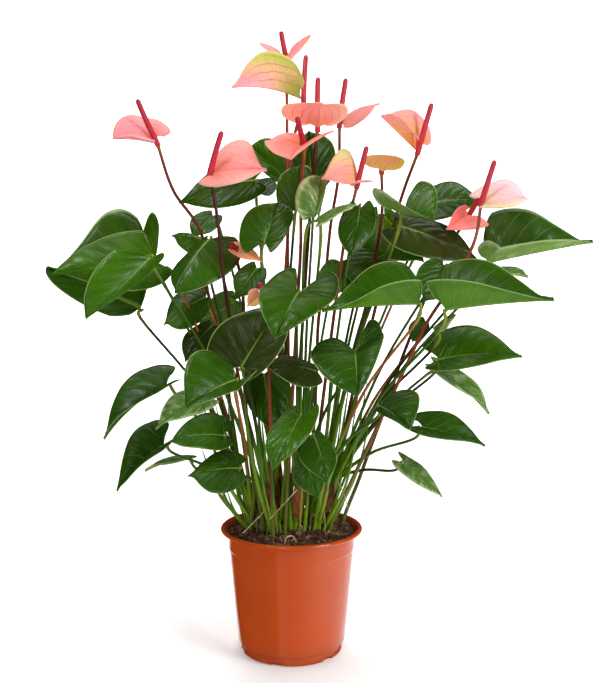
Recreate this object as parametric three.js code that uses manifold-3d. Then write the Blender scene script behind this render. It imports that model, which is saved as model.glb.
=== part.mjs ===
// Potted flamingo flower: a bushy anthurium with pink spathes in a terracotta coloured nursery pot.
// Millimetres, +Z up, +Y away from the viewer, origin at the centre of the pot's underside.

import * as THREE from 'three';
import { mergeVertices } from 'three/addons/utils/BufferGeometryUtils.js';
import Module from 'manifold-3d';

const wasm = await Module();
wasm.setup();

// Driving dimensions of the pot and its soil
const potRimRadius = 85;
const potHeight = 151;
const potFootRadius = 64.4;
const potWall = 1.8;
const rimLipHeight = 5;
const rimLipOverhang = 9.5;
const rimFlareHeight = 8;
const collarHeight = 20;
const collarStep = 0.8;
const floorThickness = 7;
const footHeight = 12;
const footStep = 3.6;
const footNotches = 6;
const footNotchWidth = 15;
const footNotchHeight = 4.7;
const footNotchDepth = 5;
const footNotchTurn = 0.75;
const potSides = 28;
const soilLevel = 143;
const soilMound = 8;
const soilLump = 2.4;
const seatGap = 0.3;

// Driving dimensions of the plant
const bladeThickness = 0.9;
const petioleRadius = 1.7;
const petioleFootRadius = 2.6;
const stalkRadius = 1.9;
const stalkFootRadius = 2.4;
const spadixBaseRadius = 3.3;
const spadixTipRadius = 2.8;
const caneRadius = 5.6;
const caneSides = 6;
const stemSides = 4;
const stalkSides = 5;
const rhizomeDepth = 16;
const rhizomeRadius = 5;
const holeDepth = 10;
const stalkCollar = 8;
const stalkJoints = 8;
const stemClearance = 1;

// The viewpoint that the leaves and blooms were sighted from: a place in the plant is held as its
// picture column and row, in a 600 by 683 frame, and its depth behind the pot's middle in millimetres.
const view = { distance: 1150, height: 484, pitch: THREE.MathUtils.degToRad(5.5), focal: 977 };
const frameMiddle = { column: 300, row: 341.5 };
const potColumn = 291.25;
view.side = ((frameMiddle.column - potColumn) * view.distance) / view.focal;

function at([column, row, depth]) {
  const across = (column - frameMiddle.column) / view.focal;
  const down = (row - frameMiddle.row) / view.focal;
  const ahead = Math.cos(view.pitch) - down * Math.sin(view.pitch);
  const rise = -Math.sin(view.pitch) - down * Math.cos(view.pitch);
  const reach = (view.distance + depth) / ahead;
  return new THREE.Vector3(view.side + across * reach, depth, view.height + rise * reach);
}

// Half outlines of a blade, in lengths behind (-) or ahead (+) of the junction and shares of the
// half width. Each row also has its foot on the midrib.
const heartOutline = [
  { foot: -1, along: -0.15, out: 0.3 },
  { foot: -1, along: -0.26, out: 0.52 },
  { foot: -1, along: -0.15, out: 0.86 },
  { foot: 0, along: 0.1, out: 1.0 },
  { foot: 0.22, along: 0.38, out: 0.9 },
  { foot: 0.52, along: 0.67, out: 0.54 },
  { foot: 0.8, along: 0.88, out: 0.17 },
  { foot: 1, along: 1, out: 0 },
];
const heartReach = 0.26;
const outlineWidest = 0.1;
const sinusEase = 1.3;

// Leaves: junction, tip and the widest point of the left and right halves, seen on the upper face
// with the tip ahead. arch bows the midrib up, cup swells each half, lift raises the rear lobes,
// back is how far the lobes reach behind the junction, full rounds the outline out or, below zero,
// draws it in, notch widens the sinus, cane is the cane that carries the petiole, bend draws the
// petiole aside. Where the halves differ a value is given for the left and for the right.
const leaves = [
  { name: 'leaf_left_back', junction: [141, 309, 30], tip: [46, 268, -15], left: [98, 312, 0],
    right: [128, 212, 85], arch: 2, back: [0.05, 0.12], full: [0.6, -0.4], cane: 0, bend: [0, 30, 0] },
  { name: 'leaf_left_bright', tone: 'bright', junction: [156, 260, -15], tip: [52, 274, -60],
    left: [139, 291, -25], right: [133, 232, 8], arch: 3, back: [0.2, 0.1], lift: [0, 48],
    full: [-0.3, 0.3], cane: 0 },
  { name: 'leaf_left_front', tone: 'bright', junction: [151, 257, -62], tip: [86, 319, -108],
    left: [156, 266, -54], right: [106, 257, -78], arch: 6, back: [0.1, 0.02], full: [0, 0.3],
    cane: 1 },
  { name: 'leaf_left_dark', junction: [210, 238, -8], tip: [175, 293, -62], left: [238, 266, -22],
    right: [181, 262, 2], arch: 6, full: [0.4, 0], cane: 1 },
  { name: 'leaf_top_left', junction: [256, 180, 50], tip: [179, 203, 0], left: [232, 208, 28],
    right: [238, 162, 82], arch: 7, cane: 2 },
  { name: 'leaf_top_centre', junction: [312, 183, 62], tip: [309, 131, 105], left: [288, 165, 78],
    right: [336, 157, 72], arch: 5, cane: 4 },
  { name: 'leaf_centre_cupped', tone: 'pale', junction: [314, 219, -45], tip: [320, 176, -5],
    left: [295, 194, -40], right: [323, 198, -18], arch: 4, cup: 3, cane: 3 },
  { name: 'leaf_centre_upright', junction: [360, 206, -22], tip: [350, 257, -60], left: [375, 222, -25],
    right: [338, 226, -42], arch: 5, cane: 5 },
  { name: 'leaf_right_pale', tone: 'bright', junction: [403, 214, -22], tip: [434, 220, -40],
    left: [424, 180, -8], right: [376, 187, -52], arch: 1, cup: [0, -7], back: [0.1, 0.26],
    full: [0.8, 0], cane: 5 },
  { name: 'leaf_right_flat', junction: [428, 205, 66], tip: [482, 201, 52], left: [441, 184, 98],
    right: [440, 221, 42], arch: 5, cane: 6 },
  { name: 'leaf_far_right_upper', junction: [487, 263, -2], tip: [593, 242, -28], left: [502, 209, 34],
    right: [512, 245, -40], arch: 1, back: [0.06, 0.16], lift: [0, 22], full: [-0.35, 0.1], cane: 6 },
  { name: 'leaf_right_olive', tone: 'olive', junction: [401, 226, 12], tip: [478, 261, 18],
    left: [432, 222, 42], right: [412, 256, -14], arch: 5, cane: 5 },
  { name: 'leaf_far_right_dark', junction: [446, 310, -70], tip: [554, 300, -90], left: [462, 260, -30],
    right: [437, 280, -112], arch: 2, back: [0.1, 0.03], full: [-0.25, -0.4], cane: 6 },
  { name: 'leaf_right_shaded', junction: [446, 266, -26], tip: [424, 302, -56], left: [447, 290, -38],
    right: [418, 269, -36], arch: 3, cane: 6 },
  { name: 'leaf_centre_folded', junction: [419, 304, -84], tip: [322, 311, -126],
    left: [411, 281, -128], right: [393, 263, -54], arch: 2, back: [0.02, 0.1], full: [-0.5, -0.2],
    cane: 5 },
  { name: 'leaf_centre_glossy', junction: [356, 351, -96], tip: [358, 396, -168], left: [384, 336, -92],
    right: [311, 356, -112], arch: 9, back: [0.8, 0.5], full: 0.8, cane: 4 },
  { name: 'leaf_centre_heart', junction: [299, 292, -86], tip: [275, 339, -150], left: [336, 298, -92],
    right: [261, 290, -104], arch: 9, back: 0.7, full: 0.3, cane: 3 },
  { name: 'leaf_centre_olive', tone: 'olive', junction: [241, 368, -100], tip: [283, 302, -96],
    left: [212, 336, -92], right: [280, 352, -102], arch: 6, cane: 1 },
  { name: 'leaf_centre_left', junction: [236, 380, -122], tip: [186, 408, -164], left: [234, 393, -140],
    right: [199, 352, -118], arch: 7, back: [0.45, 0.2], lift: [14, 0], full: 0.3, cane: 0 },
  { name: 'leaf_low_left_far', junction: [168, 385, -30], tip: [104, 439, -78], left: [150, 399, -66],
    right: [141, 374, -10], arch: 8, full: [0.5, 0], cane: 0 },
  { name: 'leaf_low_left_tip', junction: [165, 445, -15], tip: [117, 491, -56], left: [157, 456, -48],
    right: [143, 426, 4], arch: 6, cane: 0 },
  { name: 'leaf_low_left_round', junction: [224, 436, -62], tip: [171, 442, -98], left: [211, 451, -92],
    right: [214, 415, -38], arch: 6, full: 0.5, cane: 0 },
  { name: 'leaf_low_left_bottom', junction: [239, 468, -76], tip: [188, 476, -116],
    left: [222, 494, -96], right: [226, 452, -52], arch: 5, cane: 1 },
  { name: 'leaf_low_centre_bright', tone: 'bright', junction: [300, 416, -110], tip: [273, 470, -152],
    left: [314, 428, -116], right: [270, 432, -124], arch: 6, back: 0.34, cane: 3 },
  { name: 'leaf_low_centre_dark', junction: [314, 436, -94], tip: [326, 484, -130],
    left: [333, 450, -88], right: [297, 454, -108], arch: 5, cane: 3 },
  { name: 'leaf_right_glossy', tone: 'bright', junction: [438, 360, -10], tip: [522, 357, -42],
    left: [456, 328, 24], right: [462, 371, -46], arch: 6, cane: 6 },
  { name: 'leaf_low_right_inner', junction: [379, 406, -84], tip: [410, 430, -128],
    left: [413, 391, -74], right: [386, 419, -108], arch: 5, back: 0.2, full: 0.4, cane: 5 },
  { name: 'leaf_low_right_outer', junction: [421, 427, -40], tip: [485, 446, -66],
    left: [440, 413, -14], right: [434, 438, -72], arch: 3, cane: 6 },
  { name: 'leaf_low_right_bottom', tone: 'pale', junction: [403, 463, -30], tip: [442, 497, -54],
    left: [415, 461, -10], right: [405, 477, -50], arch: 3, cane: 6 },
];

// Smaller and half hidden leaves that grow as one body with the petioles and canes
const innerLeaves = [
  { junction: [162, 276, 8], tip: [134, 281, -25], left: [150, 268, 12], right: [148, 286, -18],
    arch: 2, cane: 0 },
  { junction: [210, 400, -35], tip: [156, 429, -82], left: [196, 416, -60], right: [184, 391, -18],
    arch: 6, cane: 0 },
  { junction: [206, 297, 22], tip: [164, 325, -20], left: [192, 327, -5], right: [184, 291, 45],
    arch: 5, cane: 1 },
  { junction: [212, 326, 5], tip: [185, 362, -25], left: [212, 350, -20], right: [189, 333, 5], arch: 4,
    cane: 1 },
  { junction: [205, 240, 40], tip: [172, 236, 20], left: [194, 256, 22], right: [190, 236, 62], arch: 3,
    cane: 0 },
  { junction: [213, 216, 85], tip: [192, 238, 60], left: [218, 228, 62], right: [196, 216, 95], arch: 3,
    cane: 2 },
  { junction: [284, 178, 112], tip: [250, 146, 150], left: [258, 168, 120], right: [281, 146, 128],
    arch: 5, cane: 2 },
  { junction: [296, 210, 22], tip: [300, 165, 48], left: [276, 190, 28], right: [312, 184, 36], arch: 5,
    cane: 2 },
  { junction: [264, 243, -52], tip: [279, 202, -14], left: [241, 224, -48], right: [291, 225, -34],
    arch: 5, back: 0.36, cane: 2 },
  { junction: [319, 223, -70], tip: [356, 205, -50], left: [331, 210, -50], right: [335, 219, -88],
    arch: 2, cane: 4 },
  { junction: [384, 216, 84], tip: [424, 262, 58], left: [410, 224, 76], right: [370, 250, 66], arch: 6,
    cane: 5 },
  { junction: [191, 458, 22], tip: [145, 471, 0], left: [172, 463, -12], right: [175, 458, 40], arch: 3,
    cane: 0 },
  { junction: [306, 464, -58], tip: [318, 498, -84], left: [322, 474, -58], right: [294, 480, -70],
    arch: 3, cane: 3 },
  { junction: [264, 374, 0], tip: [272, 430, -30], left: [292, 392, 4], right: [246, 396, 0], arch: 5,
    cane: 2 },
  { junction: [316, 371, -50], tip: [266, 366, -72], left: [300, 388, -76], right: [294, 358, -44],
    arch: 5, cane: 3 },
  { junction: [434, 368, 14], tip: [489, 414, -14], left: [461, 371, 34], right: [451, 385, -14],
    arch: 4, cane: 6 },
  { junction: [426, 322, 30], tip: [412, 342, 14], left: [424, 338, 18], right: [411, 323, 36], arch: 2,
    cane: 6 },
  { junction: [434, 329, -34], tip: [456, 315, -48], left: [445, 319, -22], right: [449, 327, -50],
    arch: 2, cane: 6 },
  { junction: [470, 275, 14], tip: [528, 277, 22], left: [499, 267, 40], right: [500, 277, 2], arch: 3,
    cane: 6 },
  { junction: [257, 268, -50], tip: [237, 299, -66], left: [262, 286, -56], right: [238, 272, -45],
    arch: 4, cane: 2 },
  { junction: [340, 262, 46], tip: [332, 298, 16], left: [357, 276, 48], right: [318, 276, 30], arch: 4,
    cane: 4 },
  { junction: [236, 300, 96], tip: [196, 322, 168], left: [212, 296, 140], right: [228, 330, 120],
    arch: 8, cane: 2 },
  { junction: [290, 300, 120], tip: [282, 338, 206], left: [262, 310, 150], right: [312, 312, 150],
    arch: 9, cane: 2 },
  { junction: [420, 246, 96], tip: [446, 258, 170], left: [412, 228, 140], right: [444, 240, 116],
    arch: 8, cane: 6 },
  { junction: [256, 196, 130], tip: [246, 190, 210], left: [232, 186, 160], right: [276, 184, 160],
    arch: 8, cane: 2 },
  { junction: [378, 214, 90], tip: [352, 262, 70], left: [382, 244, 84], right: [360, 226, 84], arch: 5,
    cane: 5 },
  { junction: [392, 252, 64], tip: [343, 276, 26], left: [374, 286, 44], right: [362, 247, 70], arch: 5,
    cane: 5 },
];

// Blooms: the stalk's foot on the soil, the spathe held as a leaf is, the spadix's tip, and places
// that the stalk passes through
const blooms = [
  { name: 'bloom_far_left', tone: 'pink', foot: [-53, 6], junction: [154, 143, 20],
    tip: [113, 139, -10], left: [138, 139, -32], right: [139, 117, 40], arch: 2, back: [0.15, 0.58],
    lift: [0, 8], full: [0, 0.9], spadix: [137, 99, 5], stalk: [[190, 237, 27], [206, 272, 31]] },
  { name: 'bloom_left', tone: 'pink', foot: [-33, -25], junction: [213, 173, -50], tip: [267, 171, -75],
    left: [238, 141, -18], right: [224, 187, -78], arch: 3, back: [0.16, 0.34], full: [-0.3, 0],
    spadix: [222, 131, -55], stalk: [[217, 215, -50], [222, 265, -48], [229, 318, -46]] },
  { name: 'bloom_top_back', tone: 'pink', foot: [-3, 31], junction: [286, 57, 80], tip: [288, 65, 46],
    left: [311, 34, 74], right: [259, 43, 74], arch: 0, spadix: [281, 31, 80],
    stalk: [[287, 93, 74], [287, 131, 68]] },
  { name: 'bloom_top_green', tone: 'green', foot: [-30, 25], junction: [301, 99, 40], tip: [232, 88, 0],
    left: [283, 56, 10], right: [277, 88, 50], arch: 9, back: 0.12, spadix: [306, 55, 62],
    stalk: [[297, 140, 42]] },
  { name: 'bloom_top_centre', tone: 'pink', foot: [-2, 1], junction: [318, 127, 6],
    tip: [321, 104, -42], left: [348, 114, -10], right: [281, 112, -14], arch: 3, back: 0.16,
    spadix: [318, 77, 18], stalk: [[313, 175, 8]] },
  { name: 'bloom_top_right', tone: 'pink', foot: [19, 34], junction: [342, 124, 48],
    tip: [380, 104, 10], left: [350, 113, 68], right: [356, 125, 20], arch: 2, back: 0.1,
    full: [-0.3, 0], spadix: [346, 78, 50], stalk: [[338, 182, 48], [330, 230, 50]] },
  { name: 'bloom_centre_coral', tone: 'coral', foot: [-7, -35], junction: [304, 147, -30],
    tip: [291, 160, -84], left: [334, 131, -42], right: [267, 142, -48], arch: 3, back: [0.3, 0.9],
    lift: [0, 8], full: [0, 0.7], spadix: [297, 117, -50], stalk: [[304, 178, -26]] },
  { name: 'bloom_right_folded', tone: 'orange', foot: [46, 32], junction: [416, 150, 10],
    tip: [381, 116, -22], left: [404, 122, -24], right: [422, 116, 34], arch: 0, back: 0.3, lift: 3,
    notch: 1.2, spadix: [432, 103, 8], stalk: [[398, 208, 36], [390, 240, 44]] },
  { name: 'bloom_centre_pale', tone: 'blush', foot: [19, 2], junction: [355, 186, 0],
    tip: [321, 179, -44], left: [342, 184, -40], right: [347, 150, 14], arch: 2, back: [0.8, 0.1],
    lift: [20, 0], spadix: [367, 146, 2], stalk: [[350, 210, 4]] },
  { name: 'bloom_right_orange', tone: 'orange', foot: [33, 37], junction: [383, 171, 36],
    tip: [396, 157, -8], left: [403, 166, 32], right: [364, 160, 18], arch: 2, back: 0.08,
    spadix: [382, 157, 64], stalk: [[385, 186, 36]] },
  { name: 'bloom_far_right', tone: 'blush', foot: [47, -18], junction: [484, 204, -6],
    tip: [528, 200, -36], left: [500, 181, 26], right: [505, 208, -36], arch: 2, back: [0.5, 0.3],
    spadix: [495, 160, -6], stalk: [[472, 242, -30], [458, 262, -34]] },
  { name: 'bloom_right_coral', tone: 'coral', foot: [63, 10], junction: [468, 215, 24],
    tip: [446, 230, -16], left: [487, 227, -4], right: [461, 206, 28], arch: 1, back: 0.15, notch: 1.25,
    spadix: [479, 198, 18], stalk: [[458, 232, 32], [446, 250, 46]] },
  { name: 'bloom_hidden_orange', tone: 'orange', foot: [-48, -21], junction: [238, 251, -36],
    tip: [262, 262, -44], left: [244, 244, -28], right: [240, 257, -52], arch: 1, back: 0.4,
    spadix: [231, 243, -44], stalk: [[240, 268, -30]] },
  { name: 'bloom_hidden_green', tone: 'orange', foot: [-21, -42], junction: [262, 294, -72],
    tip: [247, 307, -92], left: [262, 302, -86], right: [251, 290, -80], arch: 1, back: 0.2,
    spadix: [260, 284, -88], stalk: [[266, 306, -66]] },
];

// Canes: short upright stems that the petioles branch from, as foot and head places on the soil
const canes = [
  { foot: [-37, -4], head: [-49, -8], height: 34 },
  { foot: [-20, -24], head: [-27, -33], height: 42 },
  { foot: [-14, 15], head: [-17, 24], height: 46 },
  { foot: [6, -20], head: [7, -27], height: 52 },
  { foot: [10, 18], head: [12, 27], height: 46 },
  { foot: [30, -12], head: [37, -17], height: 56 },
  { foot: [36, 12], head: [47, 17], height: 44 },
];

const petioleRise = 0.05;
const kneeLength = 13;
const sheathLength = 18;
const caneBare = 0.3;
const petioleShares = [0, 0.25, 0.42, 0.6, 0.75, 1];
const bend = { rounds: 80, parts: 12, spacing: 4, bladeRows: 12, bladeReach: 2.4, field: 40 };

const colours = {
  pot: 0xc4622d, soil: 0x3b271c, stem: 0x6f8f2e, stalk: 0x6b1f1c,
  leaf: { dark: 0x2a5219, bright: 0x457a22, pale: 0x7c9f52, olive: 0x3d5a24 },
  spathe: { pink: 0xf0918a, coral: 0xf0705c, orange: 0xe9a04e, green: 0xbdb75a, blush: 0xf0b3a6 },
};

function material(colour, roughness) {
  return new THREE.MeshStandardMaterial({
    color: colour, roughness, metalness: 0, side: THREE.DoubleSide,
  });
}

// Solids: joining and cutting

function toSolid(geometry) {
  const plain = geometry.clone();
  plain.deleteAttribute('normal');
  plain.deleteAttribute('uv');
  const merged = mergeVertices(plain, 1e-4);
  return new wasm.Manifold(new wasm.Mesh({
    numProp: 3,
    vertProperties: new Float32Array(merged.attributes.position.array),
    triVerts: new Uint32Array(merged.index.array),
  }));
}

function toGeometry(solid) {
  const mesh = solid.getMesh();
  const geometry = new THREE.BufferGeometry();
  geometry.setAttribute('position', new THREE.Float32BufferAttribute(mesh.vertProperties, 3));
  geometry.setIndex(new THREE.Uint32BufferAttribute(mesh.triVerts, 1));
  geometry.computeVertexNormals();
  return geometry;
}

function fuse(geometries) {
  return toGeometry(geometries.map(toSolid).reduce((whole, part) => whole.add(part)));
}

function cut(geometry, cutters) {
  return toGeometry(cutters.map(toSolid).reduce(
    (whole, part) => whole.subtract(part), toSolid(geometry)));
}

function indexedGeometry(points, faces) {
  const geometry = new THREE.BufferGeometry();
  const flat = points.flatMap((point) => [point.x, point.y, point.z]);
  geometry.setAttribute('position', new THREE.Float32BufferAttribute(flat, 3));
  geometry.setIndex(faces.flat());
  geometry.computeVertexNormals();
  return geometry;
}

// Pot: thin wall with a flared and rolled rim, a collar, a tapering body and a notched foot

const collarFoot = potHeight - rimLipHeight - collarHeight;
const collarRadius = potRimRadius - rimLipOverhang;

function potRadiusAt(height) {
  const taper = (collarRadius - collarStep - potFootRadius) / (collarFoot - footHeight);
  return potFootRadius + taper * (height - footHeight);
}

function makePot() {
  const footRing = potFootRadius - footStep;
  const outline = [
    [0, 0],
    [footRing - 3, 0],
    [footRing, 1.4],
    [footRing, footHeight],
    [potFootRadius, footHeight + 1],
    [potRadiusAt(collarFoot - 1), collarFoot - 1],
    [collarRadius, collarFoot + 0.6],
    [collarRadius, potHeight - rimFlareHeight],
    [collarRadius + 2.5, potHeight - rimLipHeight + 0.3],
    [potRimRadius - 0.8, potHeight - rimLipHeight + 1],
    [potRimRadius, potHeight - 2],
    [potRimRadius - 2.4, potHeight],
    [potRimRadius - 6, potHeight - 0.4],
    [potRimRadius - 7.6, potHeight - 2],
    [collarRadius - potWall, potHeight - rimFlareHeight - 0.6],
    [collarRadius - potWall - 0.8, collarFoot + 1],
    [potRadiusAt(collarFoot) - potWall, collarFoot - 1],
    [footRing - potWall, floorThickness + 3],
    [footRing - potWall - 3, floorThickness],
    [0, floorThickness],
  ].map(([radius, height]) => new THREE.Vector2(radius, height));
  const shell = new THREE.LatheGeometry(outline, potSides);
  shell.rotateX(Math.PI / 2);
  const notches = Array.from({ length: footNotches }, (unused, index) => {
    const notch = new THREE.BoxGeometry(footNotchWidth, footNotchDepth * 2, footNotchHeight * 2);
    notch.translate(0, potFootRadius - footStep, 0);
    notch.rotateZ(((index + footNotchTurn) * 2 * Math.PI) / footNotches);
    return notch;
  });
  return cut(shell, notches);
}

// Stems: tapering tubes with closed ends, ringed at their joints

function stemPath(points) {
  return new THREE.CatmullRomCurve3(points, false, 'centripetal');
}

function tube(joints, sides, radiusAt, firstCorner = new THREE.Vector3(1, 0.2, 0.1)) {
  const last = joints.length - 1;
  const points = [];
  const faces = [];
  let across = firstCorner;
  joints.forEach((joint, index) => {
    const ahead = joints[Math.min(last, index + 1)].clone()
      .sub(joints[Math.max(0, index - 1)])
      .normalize();
    across = across.clone().addScaledVector(ahead, -across.dot(ahead)).normalize();
    const round = new THREE.Vector3().crossVectors(ahead, across);
    const radius = radiusAt(index / last);
    for (let side = 0; side < sides; side += 1) {
      const angle = (side * 2 * Math.PI) / sides;
      points.push(joint.clone()
        .addScaledVector(across, Math.cos(angle) * radius)
        .addScaledVector(round, Math.sin(angle) * radius));
    }
  });
  const ring = (step, side) => step * sides + (side % sides);
  for (let step = 0; step < last; step += 1) {
    for (let side = 0; side < sides; side += 1) {
      faces.push([ring(step, side), ring(step, side + 1), ring(step + 1, side + 1)]);
      faces.push([ring(step, side), ring(step + 1, side + 1), ring(step + 1, side)]);
    }
  }
  for (let side = 1; side < sides - 1; side += 1) {
    faces.push([ring(0, 0), ring(0, side + 1), ring(0, side)]);
    faces.push([ring(last, 0), ring(last, side), ring(last, side + 1)]);
  }
  return indexedGeometry(points, faces);
}

// Blades: a folded, arched heart built as one sheet and then given thickness

function bladeFrame(shape) {
  const junction = at(shape.junction);
  const along = at(shape.tip).sub(junction);
  const foot = junction.clone().addScaledVector(along, outlineWidest);
  const out = { left: at(shape.left).sub(foot), right: at(shape.right).sub(foot) };
  const up = new THREE.Vector3().subVectors(out.right, out.left).cross(along).normalize();
  const rearward = along.clone().normalize().negate();
  return { junction, along, out, up, rearward };
}

function onSide(value, side) {
  return Array.isArray(value) ? value[side === 'left' ? 0 : 1] : value;
}

function bladePoint(shape, frame, side, along, out) {
  const { arch = 0, cup = 0, lift = 0, back = heartReach } = shape;
  const reach = along < 0 ? (along * onSide(back, side)) / heartReach : along;
  const bow = along > 0 ? 4 * along * (1 - along) : 2 * reach;
  const raised = along < 0 ? (onSide(lift, side) * along) / -heartReach : 0;
  const rise = arch * bow + onSide(cup, side) * 4 * out * (1 - out);
  return frame.junction.clone()
    .addScaledVector(frame.along, reach)
    .addScaledVector(frame.out[side], out)
    .addScaledVector(frame.up, rise)
    .add(new THREE.Vector3(0, 0, raised * out));
}

// The half width, as a share of the greatest, at a place ahead of the junction
function outlineWidth(along) {
  const rows = heartOutline.filter((row) => row.foot >= 0);
  const next = Math.max(1, rows.findIndex((row) => row.along >= along));
  const [from, to] = [rows[next - 1], rows[next]];
  return THREE.MathUtils.lerp(from.out, to.out, THREE.MathUtils.clamp(
    (along - from.along) / (to.along - from.along), 0, 1));
}

function stemLean(shape, frame) {
  const stem = shape.spadix ? at(shape.spadix).sub(frame.junction).normalize() : frame.up;
  return Math.max(0.4, Math.abs(stem.dot(frame.up)));
}

// The notch is as wide as the stem that passes through it, more where the stem leans
function sinusShare(shape, frame, side, stemRadius) {
  const lateral = new THREE.Vector3().crossVectors(frame.up, frame.along).normalize();
  const reach = (stemRadius * sinusEase * (shape.notch ?? 1)) / stemLean(shape, frame) + seatGap;
  return reach / Math.abs(frame.out[side].dot(lateral));
}

function bladeSheet(shape, stemRadius, columns) {
  const frame = bladeFrame(shape);
  const points = [];
  const faces = [];
  const keys = new Map();
  const vertex = (point) => {
    const key = [point.x, point.y, point.z].map((value) => value.toFixed(3)).join(' ');
    if (!keys.has(key)) {
      keys.set(key, points.length);
      points.push(point);
    }
    return keys.get(key);
  };
  const face = (a, b, c) => {
    if (a !== b && b !== c && c !== a) faces.push([a, b, c]);
  };
  for (const side of ['left', 'right']) {
    const sinus = Math.min(0.7, sinusShare(shape, frame, side, stemRadius));
    const grid = heartOutline.map((row) => {
      const foot = row.foot < 0 ? { along: 0, out: sinus } : { along: row.foot, out: 0 };
      const fuller = row.out ** (1 / (1 + onSide(shape.full ?? 0, side)));
      const edge = row.foot < 0 ? Math.max(row.out, sinus + 0.04) : fuller;
      return Array.from({ length: columns + 1 }, (unused, column) => {
        const share = column / columns;
        const along = THREE.MathUtils.lerp(foot.along, row.along, share);
        const out = THREE.MathUtils.lerp(foot.out, edge, share);
        return vertex(bladePoint(shape, frame, side, along, out));
      });
    });
    for (let row = 0; row + 1 < grid.length; row += 1) {
      for (let column = 0; column < columns; column += 1) {
        const [a, b] = [grid[row][column], grid[row][column + 1]];
        const [c, d] = [grid[row + 1][column + 1], grid[row + 1][column]];
        if (side === 'left') {
          face(a, c, b);
          face(a, d, c);
        } else {
          face(a, b, c);
          face(a, c, d);
        }
      }
    }
  }
  return { points, faces, frame };
}

function thicken({ points, faces }, thickness) {
  const sheet = indexedGeometry(points, faces);
  const normals = sheet.attributes.normal;
  const shifted = (share) => points.map((point, index) => point.clone().addScaledVector(
    new THREE.Vector3().fromBufferAttribute(normals, index), thickness * share));
  const below = points.length;
  const edges = new Map();
  for (const [a, b, c] of faces) {
    for (const [from, to] of [[a, b], [b, c], [c, a]]) edges.set(`${from} ${to}`, [from, to]);
  }
  const walls = [...edges.values()].filter(([from, to]) => !edges.has(`${to} ${from}`));
  return indexedGeometry(
    [...shifted(0.5), ...shifted(-0.5)],
    [
      ...faces,
      ...faces.map(([a, b, c]) => [a + below, c + below, b + below]),
      ...walls.flatMap(([from, to]) => [
        [to, from, from + below],
        [to, from + below, to + below],
      ]),
    ],
  );
}

function makeBlade(shape, stemRadius) {
  return thicken(bladeSheet(shape, stemRadius, shape.cup ? 2 : 1), bladeThickness);
}

// Canes and petioles

function soilTopAt(x, y) {
  const share = Math.min(1, Math.hypot(x, y) / potRimRadius);
  const lumps = Math.sin(x * 0.31 + y * 0.17) * Math.cos(y * 0.29 - x * 0.11)
    + 0.6 * Math.sin(x * 0.62 - y * 0.53 + 1.3);
  return soilLevel + soilMound * (1 - share * share) + soilLump * lumps * 0.6;
}

function canePoints(cane) {
  const ground = soilTopAt(...cane.foot);
  return [
    new THREE.Vector3(cane.foot[0], cane.foot[1], ground - rhizomeDepth - 4),
    new THREE.Vector3(cane.foot[0], cane.foot[1], ground),
    new THREE.Vector3(cane.head[0], cane.head[1], ground + cane.height),
  ];
}

function caneRadiusAt(share) {
  return caneRadius * (1 - 0.25 * share);
}

function makeCane(cane) {
  return tube(canePoints(cane), caneSides, caneRadiusAt);
}

function makeRhizome(radius) {
  const links = [[0, 1], [1, 2], [1, 3], [3, 4], [3, 5], [5, 6]];
  return links.map((link) => tube(link.map((index) => new THREE.Vector3(
    canes[index].foot[0], canes[index].foot[1], soilLevel - rhizomeDepth)), stemSides, () => radius));
}

// Petioles leave their cane one above the other, the lowest leaves from the lowest place
function caneShare(shape) {
  const mates = [...leaves, ...innerLeaves]
    .filter((other) => other.cane === shape.cane)
    .sort((one, other) => other.junction[1] - one.junction[1]);
  return caneBare + (1 - caneBare) * (mates.indexOf(shape) / (mates.length - 1));
}

function petioleJoints(shape) {
  const frame = bladeFrame(shape);
  const [, ground, head] = canePoints(canes[shape.cane]);
  const root = ground.clone().lerp(head, caneShare(shape));
  const seat = frame.junction.clone().addScaledVector(frame.rearward, petioleRadius + seatGap + 0.2);
  const knee = seat.clone().addScaledVector(frame.up, -kneeLength);
  const upward = head.clone().sub(ground).normalize();
  const outward = knee.clone().sub(root).normalize();
  const sheath = root.clone().addScaledVector(upward.add(outward).normalize(), sheathLength);
  const middle = sheath.clone().lerp(knee, 0.5)
    .add(new THREE.Vector3(0, 0, sheath.distanceTo(knee) * petioleRise))
    .addScaledVector(sheath.clone().sub(knee).setZ(0), petioleRise)
    .add(new THREE.Vector3(...(shape.bend ?? [0, 0, 0])));
  const path = stemPath([root, sheath, middle, knee, seat]);
  return petioleShares.map((share) => path.getPoint(share));
}

function petioleRadiusAt(share) {
  return THREE.MathUtils.lerp(petioleFootRadius, petioleRadius, Math.min(1, share * 1.6));
}

function makePetiole(shape) {
  return tube(petioleJoints(shape), stemSides, petioleRadiusAt);
}

function makeInnerLeaf(shape) {
  const frame = bladeFrame(shape);
  const joints = petioleJoints(shape);
  joints[joints.length - 1].copy(frame.junction)
    .addScaledVector(frame.along, 0.04)
    .addScaledVector(frame.up, bladeThickness);
  return [tube(joints, stemSides, petioleRadiusAt), makeBlade(shape, 0)];
}

// Flower stalks, each running on into its spadix

function stemSpots(joints, radiusAt) {
  const last = joints.length - 1;
  return joints.slice(1).flatMap((joint, index) => {
    const from = joints[index];
    const parts = Math.ceil(from.distanceTo(joint) / bend.spacing);
    return Array.from({ length: parts + 1 }, (unused, part) => ({
      point: from.clone().lerp(joint, part / parts),
      radius: radiusAt((index + part / parts) / last),
    }));
  });
}

function bladeSpots(shape) {
  const frame = bladeFrame(shape);
  const shares = Array.from({ length: bend.bladeRows + 1 }, (unused, row) => row / bend.bladeRows);
  return ['left', 'right'].flatMap((side) => shares.flatMap((along) => {
    const width = outlineWidth(along);
    return shares.map((out) => ({
      point: bladePoint(shape, frame, side, along, out * width),
      radius: bend.bladeReach,
    }));
  }));
}

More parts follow.
